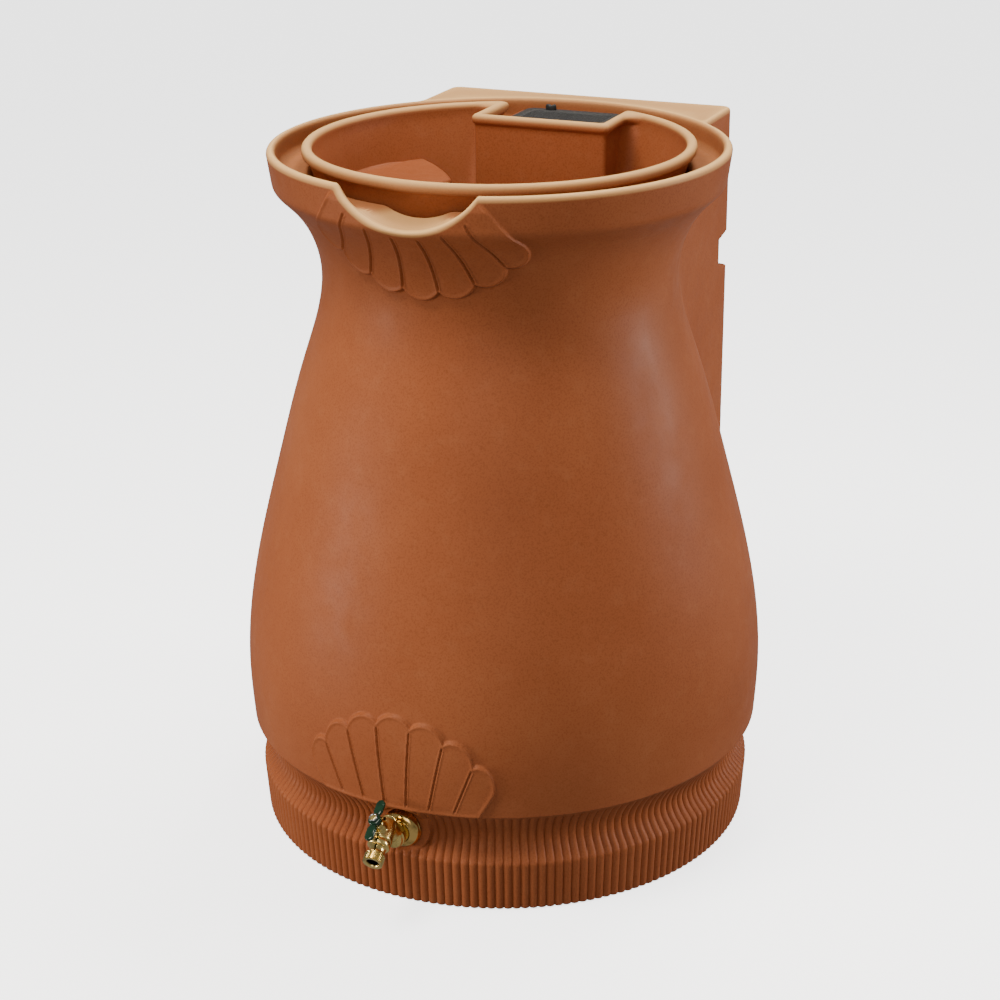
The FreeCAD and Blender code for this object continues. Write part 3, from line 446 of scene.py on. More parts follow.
# ---- tank
def build_tank():
    skin = Skin()
    theta = mirrored_angles([(23, 0.19), (35, 0.27), (50, 0.9), (113, 1.6), (138, 1.1), (158, 0.45),
                             (180, 2.2)])
    side, ahead = np.sin(theta), -np.cos(theta)
    over_edge = bowl_height(side * (RIM - LIP), ahead * (RIM - LIP))
    lip_top = smooth_min(np.full_like(theta, RIM_TOP), over_edge, 3.0)

    levels = spaced(CREASE, 152, 1.0) + spaced(153, 286, 1.05) + spaced(297, 700, 12.5)
    levels += [706, 711, 712, 714.5, 717, 719.5, 722, 723.5, 740]       # round the strap groove
    levels += [756.5, 758, 759.5, 761, 762.5, 764, 765, 770] + spaced(776, 932, 1.05)
    levels = np.array(levels)[:, None]
    hinge = 862.0               # above this the rows are drawn down to follow the spout's edge
    share = np.clip((levels - hinge) / (RIM_TOP - LIP - hinge), 0, 1)
    z = np.where(levels > hinge, hinge + share * (lip_top - LIP - hinge), levels + 0 * lip_top)

    def outside(z):
        radius = skin_radius(theta[None, :], z)
        x, front = radius * side, ahead < -0.5
        return radius + (np.where(front & (z < 300), low_shell(x, z), 0)
                         + np.where(front & (z > 760), high_shell(x, z), 0))

    rows, tones = [], []

    def add(reach, level, tone):
        """A ring of points and its tone."""
        rows.append(np.stack([reach * side, reach * ahead, level + 0 * reach], -1))
        tones.append(tone + 0 * reach)

    # Tone rising towards the lip is a painted highlight.
    add(outside(z), z, np.clip((z - lip_top + LIP + 2) / 10, 0, 0.25) * (z > 800))
    # Lip's outer round: tone growing towards the top is a painted highlight, partly wear.
    for turn in np.radians((18, 36, 54, 72, 90)):
        level = (lip_top - LIP + LIP * math.sin(turn))[None, :]
        reach = outside(level) - LIP * (1 - math.cos(turn))
        add(reach, level, 0.1 + 0.55 * math.sin(turn))
    outer_edge = reach

    def deck(radius, top):
        """Points at a radius on the rim's flat top, or in the bowl."""
        return smooth_min(np.full(radius.shape, top), bowl_height(radius * side, radius * ahead), 3.0)

    inner_edge = np.minimum(RIM_BORE + LIP, outer_edge - 1.0)
    # Rim's flat top: the pale tone is a painted highlight and wear, less on the column's flat.
    for share in (0.12, 0.35, 0.65, 0.9, 1.0):
        reach = outer_edge + (inner_edge - outer_edge) * share
        add(reach, deck(reach, RIM_TOP),
            0.65 - 0.3 * smooth_step((outer_edge - RIM) / 12) * (1 - abs(2 * share - 1)) ** 0.3)
    bore = np.minimum(RIM_BORE, inner_edge - 1.5)
    floor_at_wall, wall_top = deck(bore, TROUGH), deck(bore, RIM_TOP)
    height = np.maximum(wall_top - floor_at_wall, 0)
    drop = np.minimum(LIP, height * 0.6)
    in_bowl = smooth_step((30 - height) / 26)
    # Inner round: the painted highlight fades down into the trough; in the bowl a pale painted highlight
    # stays.
    for turn in np.radians((18, 36, 54, 72, 90)):
        reach = inner_edge + (bore - inner_edge) * math.sin(turn)
        add(reach, deck(reach, RIM_TOP) - drop * (1 - math.cos(turn)),
            0.5 - 0.4 * math.sin(turn) * (1 - in_bowl) - 0.05 * in_bowl)
    fillet = np.minimum(8.0, (height - drop) * 0.5)
    start = wall_top - drop
    # Down the wall and its fillet: where it is the bowl, the pale tone is a painted highlight on the
    # up-facing scoop.
    for share in (0.25, 0.5, 0.75, 1.0):
        add(bore - 1.4 * share * in_bowl, start + (floor_at_wall + fillet - start) * share,
            0.05 + 0.35 * in_bowl)
    foot_of_wall = bore - 1.4 * in_bowl
    for turn in np.radians((22, 45, 68, 90)):
        reach = foot_of_wall - (foot_of_wall - 280.0) * (1 - math.cos(turn))
        add(reach, deck(reach, TROUGH) + fillet * (1 - math.sin(turn)), 0.08 + 0.3 * in_bowl)
    skin.lattice(np.concatenate(rows), tone=np.concatenate(tones))

    # trough floor, pocket and the platform's footprint
    psi = np.arctan2(side, ahead)
    edge = np.argmin(np.abs(np.degrees(psi) - 17.0))
    edge_angle, blend_end = psi[edge], math.radians(60)
    # radii through the platform's front corners and just past its front edge
    corner_radius, front_radius = 169.3, PLATFORM_FRONT + 0.001
    count = len(theta)
    plan = [("trough", r, 0) for r in (280.0, 272, 264, 256, 251)]
    plan += [("trough", 249.3, -0.6), ("trough", 247.6, -1.8), ("trough", 246.6, -4.0)]
    plan += [("wall", r, 0) for r in np.linspace(244.0, POCKET_BASE + 2, 11)]
    plan += [("floor", 213.0, 2.2), ("floor", 210.0, 0.6)]
    plan += [("floor", r, 0) for r in (205.0, 190.0, corner_radius, 165.0, 158.0, 151.0, front_radius,
                                       120.0, 70.0, 20.0)]
    deck_rows, deck_tones = [], []
    for kind, radius, rise in plan:
        if radius > corner_radius:
            border = math.asin(PLATFORM_HALF / radius)
        elif radius > PLATFORM_FRONT:
            border = math.acos(min(1, PLATFORM_FRONT / radius))
        else:
            border = edge_angle * (1 - radius / front_radius)
        size_psi = np.abs(psi)
        blend = border + (size_psi - edge_angle) / (blend_end - edge_angle) * (blend_end - border)
        warped = np.where(size_psi <= edge_angle, size_psi / edge_angle * border,
                          np.where(size_psi < blend_end, blend, size_psi)) * np.sign(psi)
        x, y = radius * np.sin(warped), radius * np.cos(warped)
        bowl = smooth_min(np.full(x.shape, TROUGH), bowl_height(x, y), 3.0)
        level = {"trough": bowl + rise, "wall": np.minimum(pocket_height(radius), bowl - 4.5),
                 "floor": POCKET_FLOOR + rise + 0 * x}[kind]
        deck_rows.append(np.stack([x, y, level], -1))
        # Pale tone in the bowl is a painted highlight on its up-facing surface.
        deck_tones.append((0.08 + 0.3 * smooth_step((TROUGH - bowl) / 8)) * (radius > 244))
    deck_points = np.stack(deck_rows)
    radii = np.array([row[1] for row in plan])
    near = np.abs(psi) < edge_angle + 1e-9
    keep = ~(near & np.roll(near, -1)) | (radii[1:, None] < PLATFORM_FRONT)
    skin.lattice(deck_points, keep=keep, tone=np.stack(deck_tones))
    skin.add(np.vstack([deck_points[-1], [[0, 0, POCKET_FLOOR]]]),
             [[j, (j + 1) % count, count] for j in range(count)])

    # platform: walls from the footprint's border up to the top, then in to the inlet hole
    start = np.array([PLATFORM_HALF, math.sqrt((RIM_BORE + 1) ** 2 - PLATFORM_HALF ** 2), TROUGH])
    right_side = [start] + [p for p in deck_points[radii > PLATFORM_FRONT, edge]
                            if p[1] > PLATFORM_FRONT + 0.5 or p[0] > PLATFORM_HALF - 0.1]
    left_side = [p * (-1, 1, 1) for p in right_side][::-1]
    front = [np.array([x, PLATFORM_FRONT, POCKET_FLOOR])
             for x in (PLATFORM_HALF - 3, *np.linspace(70, -70, 11), 3 - PLATFORM_HALF)]
    path = np.array(right_side + front + left_side)
    inward = np.zeros((len(path), 2))
    centre = np.array([0.0, (INLET_FRONT + INLET_BACK) / 2])
    on_side = np.abs(np.abs(path[:, 0]) - PLATFORM_HALF) < 0.6
    inward[on_side, 0] = -np.sign(path[on_side, 0])
    inward[np.abs(path[:, 1] - PLATFORM_FRONT) < 3.2, 1] = 1
    wall_rows, edge_round = [], 4
    climb = [(share, 0.0) for share in np.linspace(0, 1, 7)]
    for share, turn in climb + [(1.0, turn) for turn in np.radians((22, 45, 68, 90))]:
        row = path.copy()
        row[:, :2] += inward * edge_round * (1 - math.cos(turn))
        row[:, 2] += (PLATFORM_TOP - edge_round - path[:, 2]) * share + edge_round * math.sin(turn)
        wall_rows.append(row)
    skin.lattice(np.stack(wall_rows), closed=False)
    back_arc = [[x, math.sqrt((RIM_BORE + 1) ** 2 - x ** 2), PLATFORM_TOP] for x in np.linspace(-80, 80, 15)]
    outer = np.vstack([wall_rows[-1], back_arc])
    direction = outer[:, :2] - centre
    half_x, half_y, power = INLET_HALF, (INLET_BACK - INLET_FRONT) / 2, 12

    def hole(grow, down):
        """Outline of the inlet, grown a little, at a depth below the platform's top."""
        scale = (np.abs(direction / (half_x + grow, half_y + grow)) ** power).sum(axis=1) ** (-1 / power)
        return flat_row(centre + direction * scale[:, None], PLATFORM_TOP - down)

    skin.lattice(np.stack([outer, hole(2.5, 0), hole(0.8, 0.7), hole(0, 2.5), hole(0, 6)]))

    # fluted foot
    fine = around(FLUTES * FLUTE_SAMPLES)
    side, ahead = np.sin(fine), -np.cos(fine)
    levels = [0.0, 0.4, 1.2, 2.4, 4.0] + spaced(11, 64, 6.6) + spaced(67, 144, 1.75) + [145.2, 146.0]
    levels = np.array(levels)[:, None]
    radius = skin_radius(fine[None, :], levels)
    place = (np.arange(len(fine)) % FLUTE_SAMPLES) / FLUTE_SAMPLES
    rib = 1 - np.abs(np.sin(math.pi * place)) ** 0.65
    fade = smooth_step((CREASE - 1.5 - levels) / 8)
    flat_back = (np.abs(radius * side) < COLUMN_HALF + 3) & (ahead * radius > 0.5 * COLUMN_BACK)
    depth = np.where(flat_back, 0, FLUTE_DEPTH)
    off_axis, front = np.hypot(radius * side, levels - SEAT_HEIGHT), ahead < -0.5
    plain = np.where(front, smooth_step((off_axis - SEAT_RECESS - 1) / 6), 1)
    radius = radius - depth * rib * fade * plain
    flat = SEAT_FACE / np.maximum(-ahead, 0.3)
    recess = smooth_step((off_axis - SEAT_RECESS + 0.6) / 2.6)
    pad = 1 - smooth_step((off_axis - SEAT_PAD + 2) / 3)
    with_pad = np.where(front, radius + np.maximum(flat - radius, 0) * pad, radius)
    radius = np.where(front & (off_axis < SEAT_PAD + 2), flat + (with_pad - flat) * recess, with_pad)
    foot = np.stack([radius * side, radius * ahead, levels + 0 * radius], -1)
    tuck = foot[-1:] * (0.985, 0.985, 1) + (0, 0, 3)
    under = np.concatenate([foot[:1] * (scale, scale, 1) for scale in (0.3, 0.8, 0.93, 0.985)])
    under[:3, :, 2] = 3.0
    skin.lattice(np.concatenate([under, foot, tuck]))
    hub = len(fine)
    skin.add(np.vstack([under[0], [[0, 0, 3.0]]]), [[(j + 1) % hub, j, hub] for j in range(hub)])

    # the hollow inside, as the CAD has it
    lining(skin)
    soften_spout(skin.build("tank_skin").data)


def soften_spout(mesh):
    """Every edge round the pouring spout is rounded, so none is left shaded as a crease."""
    x, y, z = mesh_points(mesh).T
    in_spout = (np.abs(x) < 112) & (y < -200) & (z > TROUGH - 40)
    ends = np.zeros(len(mesh.edges) * 2, np.int32)
    mesh.edges.foreach_get("vertices", ends)
    sharp = np.zeros(len(mesh.edges), bool)
    mesh.edges.foreach_get("use_edge_sharp", sharp)
    mesh.edges.foreach_set("use_edge_sharp", sharp & ~in_spout[ends.reshape(-1, 2)].all(axis=1))


def lining(skin):
    """Faces of the CAD tank that lie well inside its outer skin and under its deck."""
    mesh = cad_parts["tank"].data
    points = mesh_points(mesh)
    x, y, z = points.T
    radius = np.hypot(x, y)
    inside = radius < skin_radius(np.arctan2(x, -y), np.clip(z, 1, RIM_TOP - LIP)) - 3.5
    inside &= (z > 5) & (z < TROUGH - 4) & (z < bowl_height(x, y) - 4)
    in_platform = (np.abs(x) < PLATFORM_HALF - 3) & (y > PLATFORM_FRONT + 3) & (z < PLATFORM_TOP - 4)
    inside &= (z < np.clip(pocket_height(radius), POCKET_FLOOR, TROUGH) - 4) | in_platform
    chosen = [list(p.vertices) for p in mesh.polygons if all(inside[v] for v in p.vertices)]
    used = sorted({v for face in chosen for v in face})
    renumber = {v: i for i, v in enumerate(used)}
    skin.add(points[used], [[renumber[v] for v in face] for face in chosen])


# ---- planter insert
P_LIP, P_INNER, P_TOP, P_BASE, P_SHELF = 255.0, 241.0, 941.5, 809.3, 873.0
P_SHOULDER, P_FOOT, P_WALL = 248.0, 211.0, 6.0
WELL = ((187.0, 152.0), (126.0, 96.0), (89.0, 46.0), (0.0, -62.0))


def planter_outline(radius, half, front, joint, corner):
    """Closed outline of the tub at one level: a circle with the inlet's bay cut from its back."""
    cx = half + joint
    cy = math.sqrt((radius - joint) ** 2 - cx ** 2)
    points = [(radius * math.sin(t), -radius * math.cos(t)) for t in np.linspace(0, math.atan2(cx, -cy), 150)]
    points += [(cx + joint * math.cos(t), cy + joint * math.sin(t))
               for t in np.linspace(math.atan2(cy, cx), math.pi, 9)[1:]]
    points += [(half, y) for y in np.linspace(cy, front + corner, 9)[1:]]
    points += [(half - corner + corner * math.cos(t), front + corner + corner * math.sin(t))
               for t in np.linspace(0, -math.pi / 2, 7)[1:]]
    points += [(x, front) for x in np.linspace(half - corner, 0, 8)[1:]]
    half_loop = np.array(points)
    other = half_loop[-2:0:-1] * (-1, 1)
    return np.vstack([half_loop, other])


def flat_row(plan_points, level):
    """Plan points at one level, or each at its own."""
    return np.column_stack([plan_points, np.full(len(plan_points), level)])


def arc_through(a, b, c, count):
    """Points on the circle through three plan points."""
    a, b, c = (complex(*p) for p in (a, b, c))
    w = (c - a) / (b - a)
    centre = (b - a) * (w - abs(w) ** 2) / (2j * w.imag) + a
    first, middle, last = (math.atan2((p - centre).imag, (p - centre).real) for p in (a, b, c))
    sweep = (last - first) % (2 * math.pi)
    if not (middle - first) % (2 * math.pi) < sweep:
        sweep -= 2 * math.pi
    turn = first + np.linspace(0, 1, count) * sweep
    radius = abs(a - centre)
    return np.column_stack([centre.real + radius * np.cos(turn), centre.imag + radius * np.sin(turn)])


def build_planter():
    skin = Skin()
    levels = []        # height, circle radius, bay half width, bay front, joint round, corner round, tone (painted highlight and wear)
    floor, shoulder, bead = P_BASE + P_WALL, P_TOP - 14, 6.6

    def outer_radius(z):
        return P_FOOT + (P_SHOULDER - P_FOOT) * (z - P_BASE) / (shoulder - P_BASE)

    def inner_radius(z):
        return P_FOOT - P_WALL + (P_INNER - P_FOOT + P_WALL) * (z - floor) / (shoulder - floor)

    side_wall = [(0.0, z) for z in spaced(P_BASE + 12, P_TOP - 19, 11)]
    for inset, z in [(3.0, P_BASE), (1.2, P_BASE + 0.7), (0.0, P_BASE + 3)] + side_wall:
        levels.append((z, outer_radius(z) - inset, 90 + inset, 141 - inset, 4, 3, 0))
    for share, z in ((0.1, -16), (0.35, -14.4), (0.7, -13.2), (0.92, -11.5), (1.0, -9.0)):
        levels.append((P_TOP + z, P_SHOULDER - 0.4 + share * 7.4, 90 - 4 * share, 141 + 4 * share,
                       4, 3 + share, 0.1 * share))
    # Lip's outer and inner rounds: tone rising to the top is a painted highlight, partly wear.
    for turn in np.radians((0, 18, 36, 54, 72, 90)):
        inset = bead * (1 - math.cos(turn))
        levels.append((P_TOP - bead + bead * math.sin(turn), P_LIP - inset, 86 + inset, 145 - inset,
                       4 + 0.3 * inset, 4 + 0.3 * inset, 0.15 + 0.4 * math.sin(turn)))
    for turn in np.radians((90, 72, 54, 36, 18, 0)):
        inset = bead * (1 - math.cos(turn))
        levels.append((P_TOP - bead + bead * math.sin(turn), P_INNER + inset, 100 - inset, 131 + inset,
                       16 - 0.8 * inset, 9 - 0.5 * inset, 0.05 + 0.5 * math.sin(turn)))
    for share, z in ((0.0, -9.5), (0.3, -12.0), (0.8, -13.4), (1.0, -15.0)):
        levels.append((P_TOP + z, P_INNER - 0.5 * share, 100 - 4 * share, 131 + 4 * share,
                       16, 9 - 3 * share, 0))
    for z in np.linspace(P_TOP - 22, floor + 7, 12):
        levels.append((z, inner_radius(z), 96, 135, 18, 6, 0))
    for turn in np.radians((30, 60, 90)):
        inset = 7 * (1 - math.cos(turn))
        levels.append((floor + 7 * (1 - math.sin(turn)), inner_radius(floor) - inset, 96 + inset, 135 - inset,
                       18, 6 + inset, 0))
    rings = []
    for z, *shape, tone in levels:
        outline = planter_outline(*shape)
        rings.append(np.column_stack([outline, np.full((len(outline), 2), (z, tone))]))
    rings = np.stack(rings)
    skin.lattice(rings[:, :, :3], tone=rings[:, :, 3])

    # floor and base, with the drain holes through both
    circle = np.column_stack([np.cos(around(20)), np.sin(around(20))])
    holes = [5 * circle + (60 * math.cos(math.pi * (number + 0.5) / 4), 46) for number in range(4)]
    for loop, level, flip in ((rings[-1], floor, False), (rings[0], P_BASE, True)):
        flat_with_holes(skin, loop[:, :2], holes, level, flip)
    for hole in holes:
        skin.lattice(np.stack([flat_row(hole, floor), flat_row(hole, P_BASE)]))

    # shelf beside the deeper well
    wall = inner_radius(P_SHELF)
    flank = arc_through(WELL[0], WELL[1], WELL[2], 26)
    nose = arc_through(WELL[2], WELL[3], (-WELL[2][0], WELL[2][1]), 60)
    edge = np.vstack([flank, nose[1:], flank[-2::-1] * (-1, 1)])
    edge = edge[np.hypot(edge[:, 0], edge[:, 1]) < wall - 4]
    lead = edge[0] - edge[1]
    first_out = edge[0] + lead / np.linalg.norm(lead) * 12
    edge = np.vstack([first_out, edge, first_out * (-1, 1)])
    start, end = (math.atan2(p[0], -p[1]) for p in (edge[0], edge[-1]))
    turn = np.linspace(start, end, len(edge))
    out = np.column_stack([np.sin(turn), -np.cos(turn)])
    tangent = np.gradient(edge, axis=0)
    normal = np.column_stack([-tangent[:, 1], tangent[:, 0]])
    normal /= np.linalg.norm(normal, axis=1)[:, None]
    rim_line = edge + normal * 6
    place = np.arange(len(edge))
    taper = smooth_step(np.minimum(place, len(edge) - 1 - place) / 7)
    inner_line = out * (wall + 2.0 - 4.5 * taper)[:, None]
    rows = [flat_row(out * (inner_radius(floor) + 2), floor - 1),
            flat_row(out * (wall + 1.5), P_SHELF - 2 + 5 * taper),
            flat_row(inner_line, P_SHELF)]
    for share in (0.25, 0.5, 0.75, 1.0):
        rows.append(flat_row(inner_line * (1 - share) + rim_line * share, P_SHELF))
    for turn_ in np.radians((25, 50, 75, 90)):
        rows.append(flat_row(rim_line - normal * 6 * math.sin(turn_), P_SHELF - 6 * (1 - math.cos(turn_))))
    for spread, level in ((1.5, (P_SHELF + P_BASE) / 2), (3, floor + 3), (7, floor - 0.5)):
        rows.append(flat_row(edge - normal * spread, level))
    rows = np.stack(rows)
    within = (inner_radius(rows[:, :, 2]) + 3.0) / np.hypot(rows[:, :, 0], rows[:, :, 1])
    rows[:, :, :2] *= np.minimum(1.0, within)[:, :, None]
    skin.lattice(rows[:, ::-1], closed=False)
    skin.build("planter_tub")


def flat_with_holes(skin, loop, holes, level, flip):
    """Level face inside a loop, with round holes left open."""
    work = bmesh.new()
    edges = []
    for ring in [loop] + list(holes):
        verts = [work.verts.new((x, y, level)) for x, y in ring]
        edges += [work.edges.new((verts[i], verts[(i + 1) % len(verts)])) for i in range(len(verts))]
    bmesh.ops.triangle_fill(work, use_beauty=True, use_dissolve=False, edges=edges, normal=(0, 0, 1))
    work.verts.index_update()
    faces = [[v.index for v in face.verts][::-1 if (face.normal.z < 0) != flip else 1] for face in work.faces]
    skin.add([tuple(v.co) for v in work.verts], faces)
    work.free()


# ---- inlet screen
def rounded_rectangle(half_x, half_y, corner, centre_y, count=8):
    points = []
    for sx, sy, first in ((1, -1, -90), (1, 1, 0), (-1, 1, 90), (-1, -1, 180)):
        for t in np.radians(np.linspace(first, first + 90, count)):
            points.append((sx * (half_x - corner) + corner * math.cos(t),
                           centre_y + sy * (half_y - corner) + corner * math.sin(t)))
    return np.array(points)


def build_screen():
    low = PLATFORM_TOP + 0.3
    top, middle = low + 4.0, (INLET_FRONT + INLET_BACK) / 2
    skin = Skin()
    # basket, flange, rolled edge and the ledge that the mesh lies on: height, half sizes, corner
    outline = [(low - 26, 61.0, 48.0, 3), (low - 0.01, 61.0, 48.0, 3), (low, 71.4, 57.4, 13.4),
               (low + 0.6, 72, 58, 14), (top - 1.0, 72, 58, 14), (top - 0.3, 71.5, 57.5, 13.5),
               (top, 70.6, 56.6, 12.8), (top, 60.5, 46.5, 6), (top - 0.3, 59.0, 45.0, 5),
               (top - 0.9, 57.8, 43.8, 4), (low + 2, 57.5, 43.5, 4), (low + 2, 55.5, 41.5, 3),
               (low, 55.5, 41.5, 3), (low, 58.5, 45.5, 2), (low - 26, 58.5, 45.5, 2),
               (low - 26, 61.0, 48.0, 3)]
    skin.lattice(np.stack([flat_row(rounded_rectangle(hx, hy, corner, middle), z)
                           for z, hx, hy, corner in outline]))
    for y in (171 + 94 / 3, 171 + 188 / 3):
        plan, centre = rounded_rectangle(60.0, 1.25, 0.5, y + 1.25), np.array([0, y + 1.25])
        bar = [flat_row(centre + (plan - centre) * scale, z)
               for z, scale in ((low - 25.6, 0.6), (low - 25.9, 1), (low - 21.3, 1), (low - 21, 0.6))]
        skin.lattice(np.stack(bar))
        skin.cap(bar[0], -1)
        skin.cap(bar[-1])
    # finger tab: a low lobe with a thumb dip
    tab_rows = []
    for share in np.linspace(0, 1, 9):
        height = 8.6 * math.sin(share * math.pi / 2)
        swell = math.sqrt(1 - (share * 0.98) ** 4)
        x = -36 + 8.0 * swell * np.cos(around(28))
        y = 269 + 3.6 * swell * np.sin(around(28))
        dip = 2.4 * np.exp(-((x + 36) / 2.4) ** 2) * share
        tab_rows.append(np.column_stack([x, y, top - 0.8 + height - dip]))
    skin.lattice(np.stack(tab_rows))
    skin.cap(tab_rows[-1])
    skin.build("screen_rim", smooth_angle=50)

    woven = Skin()
    pitch, wire, sheet_z = 2.9, 0.42, low + 2.55
    for weft, half_length, half_across in ((0, 57.2, 43.2), (1, 43.2, 57.2)):
        count = int(half_across / pitch)
        s = np.linspace(-half_length, half_length, int(round(2 * half_length / (pitch / 2))) + 1)[:, None]
        for number in range(-count, count + 1):
            across = number * pitch + wire * np.cos(around(6)) + 0 * s
            height = sheet_z + 0.34 * np.cos(math.pi * (s / pitch + number + weft)) + wire * np.sin(around(6))
            run = s + 0 * across
            rows = np.stack((across, run + middle, height) if weft else (run, across + middle, height), -1)
            woven.lattice(rows if weft else rows[::-1])
            woven.cap(rows[0], -1)
            woven.cap(rows[-1])
    woven.build("screen_weave", merge=0.001, smooth_angle=60)


# ---- spigot
TILT = Matrix.Translation((0, 0, SEAT_HEIGHT)) @ Matrix.Rotation(math.radians(-10), 4, "Y") \
    @ Matrix.Translation((0, 0, -SEAT_HEIGHT))
NOZZLE_ANGLE = math.radians(28)
BALL = Vector((0, -388, 127))
FLOW = Vector((0, -math.cos(NOZZLE_ANGLE), -math.sin(NOZZLE_ANGLE)))
STEM = Vector((0, -math.sin(NOZZLE_ANGLE), math.cos(NOZZLE_ANGLE)))


def placed(origin, direction):
    """Matrix, in mm, that lays local Z along a direction, then tilts with the spigot."""
    return TILT @ Matrix.Translation(origin) @ direction.to_track_quat("Z", "Y").to_matrix().to_4x4()


def transform(points, matrix):
    m = np.array(matrix)
    return (points.reshape(-1, 3) @ m[:3, :3].T + m[:3, 3]).reshape(points.shape)


def revolved(radius, height, turn):
    """Lattice of points from radii and heights, one row for each, over the angles in turn."""
    return np.stack([radius * np.cos(turn), radius * np.sin(turn), height + 0 * radius * turn], -1)


def turned(name, profile, matrix, segments=72, ripple=None, angle=40, painted_shade_below=0.0):
    """Piece of revolution from a closed (radius, height) profile; ripple adds a thread; points inside the
    given radius get a near-black painted shade.
    """
    turn = around(segments)
    radius, height = (column[:, None] + 0 * turn for column in np.array(profile, float).T)
    if ripple is not None:
        radius = radius + ripple(radius, height, turn)
    skin = Skin()
    skin.lattice(transform(revolved(radius, height, turn), matrix), tone=(radius < painted_shade_below) * 1.0)
    skin.build(name, merge=0.004, smooth_angle=angle)


def dense(profile, step):
    """Profile with points added so that none are further apart than step."""
    out = []
    for a, b in zip(profile, profile[1:]):
        count = max(1, int(math.ceil(math.dist(a, b) / step)))
        out += [tuple(np.array(a) + (np.array(b) - np.array(a)) * i / count) for i in range(count)]
    return out + [profile[-1]]


def hex_nut(name, radius, low, high, bore, matrix):
    skin = Skin()
    turn = around(72)
    flat = radius * math.cos(math.pi / 6)
    hexagon = flat / np.cos((turn % (math.pi / 3)) - math.pi / 6)
    chamfer, face, shoulder = (radius - flat) * 0.6, flat * 0.97, flat + (radius - flat) * 0.55
    profile = ((low, face), (low + chamfer * 0.5, shoulder), (low + chamfer, radius),
               (high - chamfer, radius), (high - chamfer * 0.5, shoulder), (high, face),
               (high, bore + 0.7), (high - 0.7, bore), (low + 0.7, bore), (low, bore + 0.7), (low, face))
    rows = [revolved(np.minimum(hexagon, limit), z, turn) for z, limit in profile]
    skin.lattice(transform(np.stack(rows), matrix))
    skin.build(name, merge=0.004, smooth_angle=24)


def cast(name, shapes, voxel=0.62, rounds=5):
    """Soft cast shape: overlapping cones and rods joined by a voxel remesh, then relaxed."""
    work = bmesh.new()
    for start, end, radius_a, radius_b in shapes:
        start, end = TILT @ Vector(start), TILT @ Vector(end)
        axis = end - start
        turn = axis.to_track_quat("Z", "Y").to_matrix().to_4x4()
        bmesh.ops.create_cone(work, cap_ends=True, cap_tris=False, segments=48, radius1=radius_a * MM,
                              radius2=radius_b * MM, depth=axis.length * MM,
                              matrix=Matrix.Translation((start + end) / 2 * MM) @ turn)
    mesh = bpy.data.meshes.new(name + "_rough")
    work.to_mesh(mesh)
    work.free()
    rough = linked(name + "_rough", mesh)
    remesh = rough.modifiers.new("join", "REMESH")
    remesh.mode, remesh.voxel_size = "VOXEL", voxel * MM
    relax = rough.modifiers.new("relax", "SMOOTH")
    relax.factor, relax.iterations = 0.5, rounds
    evaluated = rough.evaluated_get(bpy.context.evaluated_depsgraph_get())
    final = bpy.data.meshes.new_from_object(evaluated)
    bpy.data.objects.remove(rough)
    bpy.data.meshes.remove(mesh)
    final.name = name
    finish_piece(final, name, 60)


def along(origin, direction, distance):
    return tuple(Vector(origin) + direction * distance)


